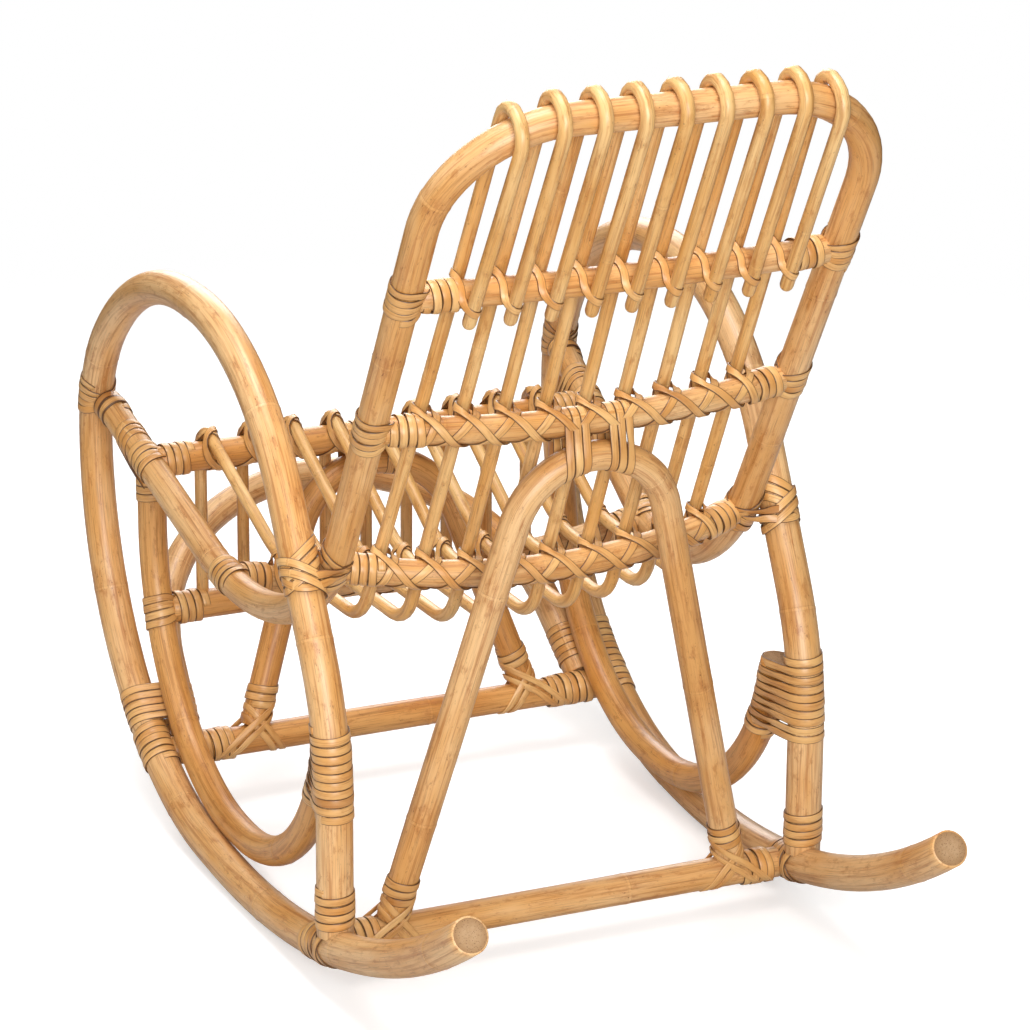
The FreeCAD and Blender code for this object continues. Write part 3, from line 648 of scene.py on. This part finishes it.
def peel_skin(name, pale, honey, deep, edge):
    """Rattan peel: glossy outer skin in long fine streaks, tone changing from turn to turn, and painted shade
    along the edges where the turns meet.
    """
    material, sock = new_material(name)
    grain = sock.node("ShaderNodeAttribute", {"attribute_name": "grain"}, {}, "Vector")
    parts = sock.node("ShaderNodeSeparateXYZ", {}, {"Vector": grain})
    across = sock.math("ABSOLUTE", parts)
    tone = grain.stretch((0.1, 0.1, 1.0)).noise(13, 1)
    streak = grain.stretch((1, 1, 0.03)).noise(900, 3, 0.6)
    mottle = grain.stretch((1, 1, 0.25)).noise(220, 3, 0.6)
    body = tone.ease(0.34, 0.66).blend(pale, honey)
    dark_turn = grain.stretch((0.1, 0.1, 1.0)).noise(7, 1).ease(0.60, 0.68)
    body = (dark_turn * 0.5).blend(body, deep)
    body = (streak.ease(0.48, 0.72) * 0.55).blend(body, deep)
    body = (mottle.ease(0.52, 0.74) * 0.40).blend(body, deep)
    # Painted shade: the strip darkens towards its edges, for the gaps between the turns.
    body = (across.ease(0.0029, 0.0040) * 0.9).blend(body, edge)
    lacquer(sock, body, 0.36 + streak * 0.18, streak * 0.7 + mottle * 0.5, LACQUER_COAT, PEEL_RELIEF)
    return material


PEEL_SKIN = peel_skin(
    "rattan_peel",
    pale=(0.77, 0.455, 0.172),
    honey=(0.61, 0.285, 0.074),
    deep=(0.34, 0.102, 0.011),
    # The edge colour is painted shade for the gaps between turns.
    edge=(0.06, 0.017, 0.003),
)
rng_peel = random.Random("peel")


def cut_pole(line, origin, normal):
    """Where a line crosses a plane nearest to the plane's origin: the point and the way of the line."""
    best = None
    heights = [(point - origin).dot(normal) for point in line]
    for i in range(len(line) - 1):
        if heights[i] * heights[i + 1] <= 0 and heights[i] != heights[i + 1]:
            point = line[i].lerp(line[i + 1], heights[i] / (heights[i] - heights[i + 1]))
            distance = (point - origin).length
            if best is None or distance < best[0]:
                best = (distance, point, (line[i + 1] - line[i]).normalized())
    if best is None:
        end = min((line[0], line[-1]), key=lambda point: (point - origin).length)
        way = (line[1] - line[0]) if end is line[0] else (line[-1] - line[-2])
        return end, way.normalized()
    return best[1], best[2]


def near_parts(poles, center):
    """Only the stretches of the poles close to a joint."""
    parts = []
    for line, radius in poles:
        near = [i for i in range(len(line)) if (line[i] - center).length < JOINT_REACH]
        parts.append((line[max(0, min(near) - 1):max(near) + 2], radius))
    return parts


def girdle(origin, side, front, poles, shares, taper=0.0):
    """Points at shares of the tight belt round some poles, in the plane of side and front.

    With a taper, a belt past the end of a pole draws in to the first pole within that length.
    """
    normal = side.cross(front)
    ovals = []
    first_point = cut_pole(poles[0][0], origin, normal)[0]
    for line, radius in poles:
        point, way = cut_pole(line, origin, normal)
        lean = way.dot(normal)
        past = abs((origin - point).dot(normal))
        if taper and past > PAST_END:
            left = max(0.0, 1 - past / taper)
            point = first_point.lerp(point, left)
            radius *= max(left, LEAST_TAPER)
        if abs(lean) > LEAST_LEAN:
            point = point + way * ((origin - point).dot(normal) / lean)
        off = point - origin
        along = Vector((way.dot(side), way.dot(front)))
        along = along.normalized() if along.length > 1e-4 else Vector((1, 0))
        long = radius / max(abs(lean), OVAL_LEAN)
        ovals.append((off.dot(side), off.dot(front), along.x, along.y, long, radius))
    belt = []
    for i in range(BELT_STEPS):
        x, y = math.cos(i * math.tau / BELT_STEPS), math.sin(i * math.tau / BELT_STEPS)
        reach = None
        for u, v, ax, ay, long, short in ovals:
            p, q = x * ax + y * ay, -x * ay + y * ax
            size = math.hypot(long * p, short * q)
            hold = u * x + v * y + size
            if reach is None or hold > reach[0]:
                p, q = long * long * p / size, short * short * q / size
                reach = (hold, u + p * ax - q * ay, v + p * ay + q * ax)
        belt.append((reach[1], reach[2]))
    marks = [0.0]
    for a, b in zip(belt, belt[1:] + belt[:1]):
        marks.append(marks[-1] + math.hypot(b[0] - a[0], b[1] - a[1]))
    found = []
    for share in shares:
        goal = (share % 1.0) * marks[-1]
        i = bisect.bisect_right(marks, goal + 1e-12, 1, BELT_STEPS) - 1
        a, b = belt[i], belt[(i + 1) % BELT_STEPS]
        part = (goal - marks[i]) / max(marks[i + 1] - marks[i], 1e-9)
        x, y = a[0] + (b[0] - a[0]) * part, a[1] + (b[1] - a[1]) * part
        found.append(origin + side * x + front * y)
    return found


def nearest_axis(point, poles):
    """The point, on the axis of the pole whose surface is nearest, from which a strip faces outward."""
    best = None
    for line, radius in poles:
        axis_point = min(line, key=lambda other: (other - point).length_squared)
        gap = abs((axis_point - point).length - radius)
        if best is None or gap < best[0]:
            best = (gap, axis_point)
    return best[1]


def lay_strip(mesh, points, hubs, lifts, width, thick, loop):
    """A flat strip along points, its face turned away from the hubs, each point with its own lift."""
    count = len(points)
    ways = []
    outs = []
    for i in range(count):
        before = points[i - 1] if loop or i else points[0]
        after = points[(i + 1) % count] if loop or i < count - 1 else points[-1]
        way = (after - before).normalized()
        out = points[i] - hubs[i]
        ways.append(way)
        outs.append((out - way * out.dot(way)).normalized())
    outs = smoothed(outs, loop)
    stands = []
    marks = [0.0]
    for i in range(count):
        way = ways[i]
        out = (outs[i] - way * outs[i].dot(way)).normalized()
        place = points[i] + out * (lifts[i] + thick / 2)
        stands.append(stand((out.cross(way), out, way), place, width / 2, thick / 2))
        if i:
            marks.append(marks[-1] + (points[i] - points[i - 1]).length)
    strip = grained_mesh()
    shift = rng_peel.uniform(0, STRIP_SHIFT)
    _, first, last = sweep(strip, stands, STRIP_SIDES, marks, shift, loop, STRIP_SQUARE)
    if not loop:
        for edges in (first, last):
            bmesh.ops.contextual_create(strip, geom=edges)
    data = bpy.data.meshes.new("strip")
    strip.to_mesh(data)
    strip.free()
    mesh.from_mesh(data)
    bpy.data.meshes.remove(data)


def smoothed(points, loop):
    """Ease the corners that a belt has where it leaves one pole for another."""
    for _ in range(2):
        count = len(points)
        eased = []
        for i in range(count):
            if not loop and i in (0, count - 1):
                eased.append(points[i])
            else:
                eased.append(points[i] * 0.5 + points[i - 1] * 0.25 + points[(i + 1) % count] * 0.25)
        points = eased
    return points


def wind(
    mesh, poles, center, axis, turns,
    pitch=STRIP_PITCH, width=STRIP_WIDTH, thick=STRIP_THICK, pinch=None, taper=0.0,
):
    """One strip wound round a pole or a pair of poles, turn on turn along the axis, its tails tucked under.

    The turns gather and lie on each other on the side that pinch points to.
    """
    axis = axis.normalized()
    side = axis.orthogonal().normalized()
    front = axis.cross(side)
    poles = near_parts(poles, center)
    points = []
    hubs = []
    lifts = []
    total = int(turns * RING_STEPS)
    start = rng_peel.random()
    drift = [rng_peel.uniform(-SWAY, SWAY) * MM for _ in range(int(turns) * 2 + 4)]
    for i in range(total + 1):
        turn = i / RING_STEPS
        k = int(turn * 2)
        sway = drift[k] + (drift[k + 1] - drift[k]) * (turn * 2 - k)
        offset = pitch * (turn - turns / 2) + sway
        point = girdle(center + axis * offset, side, front, poles, [turn + start], taper)[0]
        hub = nearest_axis(point, poles)
        gathered = max(0.0, (point - hub).normalized().dot(pinch)) ** 2 if pinch else 0.0
        if gathered:
            offset *= 1 - PINCH_SHARE * gathered
            point = girdle(center + axis * offset, side, front, poles, [turn + start], taper)[0]
        points.append(point)
        hubs.append(hub)
        tail = min(i, total - i)
        rise = RIPPLE * (0.5 + 0.5 * math.sin(turn * 9 + start * 6)) + PILE * gathered * turn
        lifts.append(thick * (rise - max(0.0, 1 - tail / TUCK_STEPS)))
    lay_strip(mesh, smoothed(points, False), hubs, lifts, width, thick, False)


def strap(mesh, poles, center, normal, count=1, pitch=STRIP_PITCH, width=STRIP_WIDTH, lift=0.0):
    """Closed loops of strip side by side round some poles, in planes square to the normal."""
    normal = normal.normalized()
    side = normal.orthogonal().normalized()
    front = normal.cross(side)
    poles = near_parts(poles, center)
    for number in range(count):
        origin = center + normal * (pitch * (number - (count - 1) / 2))
        points = girdle(origin, side, front, poles, [i / RING_STEPS for i in range(RING_STEPS)])
        hubs = [nearest_axis(point, poles) for point in points]
        lifts = [lift + rng_peel.uniform(0, 0.25) * MM] * len(points)
        lay_strip(mesh, smoothed(points, True), hubs, lifts, width, STRIP_THICK, True)


def pole_near(name, point):
    """Nearest point of a pole's line and its way there."""
    line = lines[name][0]
    i = min(range(1, len(line) - 1), key=lambda k: (line[k] - point).length_squared)
    return line[i], (line[i + 1] - line[i - 1]).normalized()


def band(mesh, name, point, turns, shift=0.0, **sizes):
    """A winding round one pole at its nearest place to a point, moved along the pole by a shift."""
    spot, way = pole_near(name, point)
    spot, way = pole_near(name, spot + way * shift)
    wind(mesh, [lines[name]], spot, way, turns, **sizes)


def bind_rail(mesh, post, rail, joint, inward, turns):
    """The usual joint: a winding on the post that gathers towards the rail, then one on the rail's end."""
    band(mesh, post, joint, turns, pinch=inward)
    band(mesh, rail, joint + inward * RAIL_WRAP, RAIL_TURNS, thick=RAIL_STRIP_THICK)


def peel_piece(name, mesh, nodes=()):
    """A finished lashing, smooth all over."""
    for face in mesh.faces:
        face.smooth = True
    finish_piece(name, mesh, (PEEL_SKIN,), nodes)


def joint_at(x, y, z, hand):
    """A point in millimetres on the left side, or its mirror image on the right."""
    return Vector((x * hand, y, z)) * MM


ACROSS = Vector((1, 0, 0))
UP = Vector((0, 0, 1))
RAIL_WRAP = 31.5 * MM
RAIL_TURNS = 3.5
RAIL_STRIP_THICK = 2.3 * MM
FRONT_SEAT_JOINT = (251.2, -280.5, 366.7)
ARM_JOINT = (264.7, -394.7, 409.8)
ARM_WRAP = 33 * MM
ARM_STRIP_PITCH = 10.5 * MM
ARM_STRIP_WIDTH = 11.5 * MM
LOWER_CROSSING_NORMAL = Vector((0, 0.12, 1))
LOWER_SLOPE = 0.75
BOW_FRONT_JOINT = (233, -298.6, 197.0)
BOW_TOP_BAND = (233, -316, 334)
BOW_TOP_SEAT = (255, -316, 379)
BOW_TOP_STUB = (233, -316, 338)
STUB_REACH = 60 * MM
STUB_RADIUS = 11 * MM
STUB_PITCH = 7.6 * MM
FRONT_FLOOR_JOINT = (259.7, -234.0, 65.7)
FRONT_FLOOR_SHIFT = -0.006
FRONT_FLOOR_WRAP = 56 * MM
FOOTREST_SPOT = (222, -275, 100)
FOOTREST_OUT = 20 * MM
REAR_FLOOR_JOINT = (246.1, 202.0, 40.5)
REAR_FLOOR_WRAP = 38 * MM
FOOT_BAND = (245.2, 230, 89)
FOOT_STRAP = (245.2, 226, 47)
FOOT_TILTS = (0.65, -0.25)
RUNNER_FRONT = 100 * MM
RUNNER_REAR = 330 * MM
RUNNER_TOP = 75 * MM
BOW_REAR_JOINT = (239, 205, 223)
BOW_REAR_TAPER = 14 * MM
BOW_REAR_BAND = (233, 160, 178)
for side, hand in HANDS.items():
    loop, bow = "side_loop_" + side, "under_bow_" + side
    inward = ACROSS * -hand

    for place in ("upper", "middle"):
        mesh = grained_mesh()
        joint = joint_at(*BACK_RAILS[place][0], hand)
        bind_rail(mesh, "back_seat_frame", "back_rail_" + place, joint, inward, 4.5)
        name = "lash_back_%s_%s" % (place, side)
        peel_piece(name, mesh, [name])

    mesh = grained_mesh()
    joint = joint_at(*BACK_RAILS["lower"][0], hand)
    pair = [lines["back_seat_frame"], lines[loop]]
    crossing = (pole_near("back_seat_frame", joint)[0] + pole_near(loop, joint)[0]) / 2
    bind_rail(mesh, "back_seat_frame", "back_rail_lower", joint, inward, 4)
    strap(mesh, pair, crossing, LOWER_CROSSING_NORMAL, 2, lift=0.5 * STRIP_THICK)
    for pole, lean in ((loop, -1), ("back_seat_frame", 1)):
        spot, way = pole_near(pole, joint)
        way = way * (1 if way.z > 0 else -1)
        for slope, count, rise, lift in ((-LOWER_SLOPE, 3, 6, 0.3), (LOWER_SLOPE, 2, -8, 1.1)):
            normal = way + ACROSS * (slope * lean) * hand
            strap(mesh, [lines[pole]], spot + UP * rise * MM, normal, count, lift=lift * STRIP_THICK)
    peel_piece("lash_back_lower_" + side, mesh, ["lash_back_lower_" + side])

    mesh = grained_mesh()
    bind_rail(mesh, "back_seat_frame", "front_seat_rail", joint_at(*FRONT_SEAT_JOINT, hand), inward, 4)
    peel_piece("lash_seat_front_" + side, mesh, ["lash_seat_front_" + side])

    mesh = grained_mesh()
    bind_rail(mesh, "back_seat_frame", "rear_seat_rail", joint_at(*REAR_RAIL_END, hand), inward, 4)
    peel_piece("lash_seat_rear_" + side, mesh, ["lash_seat_rear_" + side])

    mesh = grained_mesh()
    joint = joint_at(*ARM_JOINT, hand)
    rail_way = pole_near("back_seat_frame", joint)[1]
    rail_way = rail_way if rail_way.y > 0 else -rail_way
    band(mesh, loop, joint, 4.5, pinch=rail_way)
    wrap = joint + rail_way * ARM_WRAP
    band(mesh, "back_seat_frame", wrap, 2, pitch=ARM_STRIP_PITCH, width=ARM_STRIP_WIDTH)
    peel_piece("lash_arm_" + side, mesh, ["lash_arm_" + side])

    mesh = grained_mesh()
    bind_rail(mesh, bow, "front_lower_rail", joint_at(*BOW_FRONT_JOINT, hand), inward, 4)
    peel_piece("lash_bow_front_" + side, mesh, ["lash_bow_front_" + side])

    mesh = grained_mesh()
    band(mesh, bow, joint_at(*BOW_TOP_BAND, hand), 4.2)
    seat_spot, seat_way = pole_near("back_seat_frame", joint_at(*BOW_TOP_SEAT, hand))
    stub = [joint_at(*BOW_TOP_STUB, hand) + seat_way * reach for reach in (-STUB_REACH, STUB_REACH)]
    middle = (seat_spot + stub[0] / 2 + stub[1] / 2) / 2
    pair = [lines["back_seat_frame"], (stub, STUB_RADIUS)]
    strap(mesh, pair, middle, seat_way - UP * seat_way.z, 3, STUB_PITCH)
    peel_piece("lash_bow_top_" + side, mesh, ["lash_bow_top_" + side])

    mesh = grained_mesh()
    joint = joint_at(*FRONT_FLOOR_JOINT, hand)
    band(mesh, loop, joint, 5.5, FRONT_FLOOR_SHIFT)
    band(mesh, "front_floor_rail", joint + inward * FRONT_FLOOR_WRAP, 6, thick=RAIL_STRIP_THICK)
    foot_spot, foot_way = pole_near("footrest_arch", joint_at(*FOOTREST_SPOT, hand))
    pair = [lines[loop], lines["footrest_arch"]]
    strap(mesh, pair, foot_spot + ACROSS * hand * FOOTREST_OUT, foot_way, 5)
    peel_piece("lash_front_floor_" + side, mesh, ["lash_front_floor_" + side])

    mesh = grained_mesh()
    joint = joint_at(*REAR_FLOOR_JOINT, hand)
    band(mesh, loop, joint, 4)
    band(mesh, "rear_floor_rail", joint + inward * REAR_FLOOR_WRAP, RAIL_TURNS, thick=RAIL_STRIP_THICK)
    peel_piece("lash_rear_floor_" + side, mesh, ["lash_rear_floor_" + side])

    mesh = grained_mesh()
    band(mesh, loop, joint_at(*FOOT_BAND, hand), 4.4)
    runner = [point for point in lines[loop][0] if RUNNER_FRONT < point.y < RUNNER_REAR]
    runner = [point for point in runner if point.z < RUNNER_TOP]
    for tilt in FOOT_TILTS:
        spot = joint_at(*FOOT_STRAP, hand)
        strap(mesh, [(runner, LOOP_RADIUS)], spot, Vector((0, 1, tilt)), 1, lift=(1 - tilt) * MM)
    peel_piece("lash_foot_" + side, mesh, ["lash_foot_" + side])

    mesh = grained_mesh()
    pair = [lines[loop], lines[bow]]
    wind(mesh, pair, joint_at(*BOW_REAR_JOINT, hand), UP, 10, taper=BOW_REAR_TAPER)
    band(mesh, bow, joint_at(*BOW_REAR_BAND, hand), 2.5)
    peel_piece("lash_bow_rear_" + side, mesh, ["lash_bow_rear_" + side])

# Brace lashings: rattan peel too. Each foot of a brace arch is bound to its floor rail by straps that cross
# over the joint, under a short winding on the leg, and each crown is bound to the rail that it props by two
# groups of straps.
CROSS_WIDTH = 6.6 * MM
CROSS_RISE = 18 * MM
LEG_BAND_RISE = 46 * MM
CROWN_OFFSET = 22 * MM
BRACE_FEET = (
    ("rear_brace_arch", "rear_floor_rail", (182, 202, 40.5)),
    ("front_brace_arch", "front_floor_rail", (158, -234, 65.7)),
)
BRACE_CROWNS = (
    ("rear_brace_arch", "back_rail_middle", (0, 262, 532)),
    ("front_brace_arch", "front_seat_rail", (0, -280.5, 352)),
)


def cross_lash(mesh, names, joint, count):
    """Straps that cross over a joint of two poles, first in the one slant and then, on top, in the other."""
    poles = [lines[name] for name in names]
    ways = [pole_near(name, joint)[1] for name in names]
    ways[1] = ways[1] if ways[1].dot(ways[0]) > 0 else -ways[1]
    strap(mesh, poles, joint, ways[0] + ways[1], count, width=CROSS_WIDTH)
    strap(mesh, poles, joint, ways[0] - ways[1], count, width=CROSS_WIDTH, lift=STRIP_THICK)


for side, hand in HANDS.items():
    for arch, rail, foot in BRACE_FEET:
        mesh = grained_mesh()
        spot = joint_at(*foot, hand)
        leg_way = pole_near(arch, spot)[1]
        leg_way = leg_way if leg_way.z > 0 else -leg_way
        band(mesh, arch, spot + leg_way * LEG_BAND_RISE, 2.5)
        cross_lash(mesh, (arch, rail), spot + leg_way * CROSS_RISE, 2)
        peel_piece("lash_%s_%s" % (arch.replace("_arch", ""), side), mesh)
for arch, rail, crown in BRACE_CROWNS:
    mesh = grained_mesh()
    center = Vector(crown) * MM
    for offset in (-CROWN_OFFSET, CROWN_OFFSET):
        strap(mesh, [lines[arch], lines[rail]], center + ACROSS * offset, ACROSS, 3)
    peel_piece("lash_%s_crown" % arch.replace("_arch", ""), mesh)

# Slat ties: two long strips of rattan peel are laced along each rail, one in each slant. They cross over the
# front of a slat and run behind the rail to the next one, so that the rail's back shows a braid. On the upper
# back rail a closed tie holds each slat together with its hook.
TIE_WIDTH = 8.0 * MM
TIE_THICK = 1.9 * MM
TIE_SIDE = SLAT_RADIUS + 2.5 * MM
TIE_RISE = 9 * MM
TIE_TAIL = 22 * MM
TIE_LAYER = 0.8
TIE_LEAVES = 62
TIE_RETURNS = 298
HOOK_RISE = 4 * MM
HOOK_POINTS = 40
HOOK_LEAVES = 165
HOOK_RETURNS = 262
OVER_STEPS = 8
BEHIND_STEPS = 21
DOWN_STEPS = 10
BACK_STEPS = 4
LACED_RAILS = {
    "back_rail_middle": None,
    "back_rail_lower": None,
    "rear_seat_rail": None,
    "front_seat_rail": Vector((0, 0.2, 0.98)),
}


def slat_crossing(number, rail, face=None):
    """Where a slat crosses a rail: points on both lines, and the ways along the rail, to the slat and up it."""
    rail_line, rail_radius = lines[rail]
    slat_line = lines["slat_%d" % number][0]
    slat_line = slat_line[:len(slat_line) * 3 // 4]
    middle = slat_line[len(slat_line) // 2]
    on_rail = min(rail_line, key=lambda point: abs(point.x - middle.x))
    for _ in range(3):
        goal = on_rail + face * (rail_radius + SLAT_RADIUS) if face else on_rail
        on_slat = min(slat_line, key=lambda point: (point - goal).length)
        on_rail = min(rail_line, key=lambda point: abs(point.x - on_slat.x))
    along = pole_near(rail, on_rail)[1]
    along = along if along.x > 0 else -along
    toward = on_slat - on_rail
    toward = (toward - along * toward.dot(along)).normalized()
    up = along.cross(toward)
    return on_rail, on_slat, along, toward, up if up.z + up.y > 0 else -up


def over_slat(spot, toward, up, along, rise):
    """Half a turn over a slat, from its far side low down to its near side higher up: points and hubs."""
    points = []
    hubs = []
    for i in range(OVER_STEPS + 1):
        share = 2 * i / OVER_STEPS - 1
        angle = math.radians(-90 * share)
        hub = spot + up * (rise * share)
        points.append(hub + (along * math.sin(angle) + toward * math.cos(angle)) * SLAT_RADIUS)
        hubs.append(hub)
    return points, hubs


def round_rail(start, goal, toward, up, radius, first, last, count):
    """Part of a turn round a rail, from one angle to another, while going along it: points and hubs."""
    points = []
    hubs = []
    for i in range(count):
        share = i / (count - 1)
        angle = math.radians(first + (last - first) * share)
        hubs.append(start.lerp(goal, share))
        points.append(hubs[-1] + (toward * math.cos(angle) + up * math.sin(angle)) * radius)
    return points, hubs


def lace(mesh, rail, slant, layer, face):
    """A strip laced along a rail: back over each slat's front, then round the rail and past the next slat."""
    radius = lines[rail][1]
    order = range(SLAT_COUNT, 0, -1) if slant > 0 else range(1, SLAT_COUNT + 1)
    spots = [slat_crossing(number, rail, face) for number in order]
    points = []
    hubs = []
    for number, (on_rail, on_slat, along, toward, up) in enumerate(spots):
        along = along * slant
        start = on_rail - along * TIE_SIDE
        goal = start + along * TIE_TAIL
        if number + 1 < len(spots):
            goal = spots[number + 1][0] + along * TIE_SIDE
        over = over_slat(on_slat, toward, up, along, TIE_RISE)
        behind = round_rail(start, goal, toward, up, radius, TIE_LEAVES, TIE_RETURNS, BEHIND_STEPS)
        points += over[0] + behind[0]
        hubs += over[1] + behind[1]
    lifts = [TIE_THICK * TIE_LAYER * layer] * len(points)
    lay_strip(mesh, smoothed(points, False), hubs, lifts, TIE_WIDTH, TIE_THICK, False)


def tie_hook(mesh, rail, number):
    """A closed tie: over the slat's front, down the back of the rail and across the hook's end."""
    radius = lines[rail][1]
    on_rail, on_slat, along, toward, up = slat_crossing(number, rail)
    along = -along
    tail = lines["slat_%d" % number][0][-HOOK_POINTS:]
    low = on_rail + up * MM
    on_hook = min(tail, key=lambda point: (point - low).length)
    near = on_rail - along * TIE_SIDE
    far = on_rail + along * TIE_SIDE
    over = over_slat(on_hook, -toward, -up, -along, HOOK_RISE)
    runs = [
        over_slat(on_slat, toward, up, along, TIE_RISE),
        round_rail(near, near, toward, up, radius, TIE_LEAVES, HOOK_LEAVES, DOWN_STEPS),
        (over[0][1:-1], over[1][1:-1]),
        round_rail(far, far, toward, up, radius, HOOK_RETURNS, TIE_RETURNS, BACK_STEPS),
    ]
    points = [point for run in runs for point in run[0]]
    hubs = [hub for run in runs for hub in run[1]]
    lay_strip(mesh, smoothed(points, True), hubs, [0.0] * len(points), TIE_WIDTH, TIE_THICK, True)


for rail, face in LACED_RAILS.items():
    mesh = grained_mesh()
    for layer, slant in enumerate((1, -1)):
        lace(mesh, rail, slant, layer, face)
    peel_piece("ties_" + rail, mesh)
mesh = grained_mesh()
for number in range(1, SLAT_COUNT + 1):
    tie_hook(mesh, "back_rail_upper", number)
peel_piece("ties_back_rail_upper", mesh)

# Floor: a plain sheet of pale paper, which takes the chair's soft shadow. It fades out into the white room far
# from the chair, and throws back less light than the camera sees on it.
FLOOR_HALF = 2.4
FLOOR_FADE = (1.0, 2.2)
PAPER = (0.50, 0.50, 0.50)
PAPER_SEEN = (1.35, 1.35, 1.35)
PAPER_GLOW = 0.45
mesh = bmesh.new()
bmesh.ops.create_grid(mesh, x_segments=1, y_segments=1, size=FLOOR_HALF)
floor_data = bpy.data.meshes.new("floor")
mesh.to_mesh(floor_data)
mesh.free()
floor = bpy.data.objects.new("floor", floor_data)
bpy.context.scene.collection.objects.link(floor)
paper, sock = new_material("pale_paper")
place = sock.node("ShaderNodeTexCoord", {}, {}, "Object")
away = sock.node("ShaderNodeVectorMath", {"operation": "LENGTH"}, {0: place}, "Value")
seen = sock.node("ShaderNodeLightPath", {}, {}, "Is Camera Ray")
white = seen.blend(PAPER, PAPER_SEEN)
sheet = sock.node("ShaderNodeBsdfDiffuse", {}, {"Color": white})
glow = sock.node("ShaderNodeEmission", {}, {"Color": (1.0, 1.0, 1.0, 1.0), "Strength": 1.0})
sheet = sock.node("ShaderNodeMixShader", {}, {0: seen * PAPER_GLOW, 1: sheet, 2: glow})
gone = sock.node("ShaderNodeBsdfTransparent", {}, {})
sheet = sock.node("ShaderNodeMixShader", {}, {0: away.ease(*FLOOR_FADE), 1: sheet, 2: gone})
sock.node("ShaderNodeOutputMaterial", {}, {"Surface": sheet})
floor_data.materials.append(paper)

# Light: a white room with four large soft lamps. The key stands low behind the chair, on the camera's side, the
# fill in front of it, one hangs above, and a weak one lights the chair's left.
ROOM_LIGHT = 0.16
ROOM_SEEN = 1.0
ROOM_GLOSS = 0.08
LAMPS = {
    "key": ((0.9, 2.9, 1.35), (0, 0, 0.45), 1.6, 89),
    "fill": ((-1.0, -3.0, 1.7), (0, 0, 0.4), 2.0, 68),
    "top": ((0.3, 0.1, 3.2), (0, 0, 0.4), 1.4, 70),
    "side": ((2.8, 0.0, 2.3), (0, 0, 0.4), 1.8, 20),
}
world = bpy.data.worlds.new("studio")
bpy.context.scene.world = world
world.use_nodes = True
world.node_tree.nodes.clear()
sock = Sock(world.node_tree)
seen = sock.node("ShaderNodeLightPath", {}, {}, "Is Camera Ray")
glossy = sock.node("ShaderNodeLightPath", {}, {}, "Is Glossy Ray")
strength = ROOM_LIGHT + seen * (ROOM_SEEN - ROOM_LIGHT) - glossy * ROOM_GLOSS
sky = sock.node("ShaderNodeBackground", {}, {"Color": (1.0, 1.0, 1.0, 1.0), "Strength": strength})
sock.node("ShaderNodeOutputWorld", {}, {"Surface": sky})
for name, (place, target, size, power) in LAMPS.items():
    data = bpy.data.lights.new(name, "AREA")
    data.size = size
    data.energy = power
    lamp = bpy.data.objects.new(name, data)
    lamp.location = place
    lamp.rotation_euler = (Vector(target) - Vector(place)).to_track_quat("-Z", "Y").to_euler()
    bpy.context.scene.collection.objects.link(lamp)

# Camera: a long lens behind the chair and to its left, well above the armrest and looking down on it. The shift
# sets the chair to one side of the picture, as it is framed in the photograph.
AIM = Vector((0, -142.5, 494.4)) * MM
AZIMUTH = math.radians(157.39)
ELEVATION = math.radians(17.24)
DISTANCE = 4.107
camera_data = bpy.data.cameras.new("camera")
camera_data.sensor_width = 36.0
camera_data.lens = 142.8
camera_data.shift_x = 0.088
camera_data.shift_y = -0.158
camera = bpy.data.objects.new("camera", camera_data)
level = Vector((math.sin(AZIMUTH), -math.cos(AZIMUTH), 0)) * math.cos(ELEVATION)
look = level + Vector((0, 0, math.sin(ELEVATION)))
camera.location = AIM + look * DISTANCE
camera.rotation_euler = (-look).to_track_quat("-Z", "Y").to_euler()
bpy.context.scene.collection.objects.link(camera)
bpy.context.scene.camera = camera
bpy.context.scene.view_settings.view_transform = "Standard"
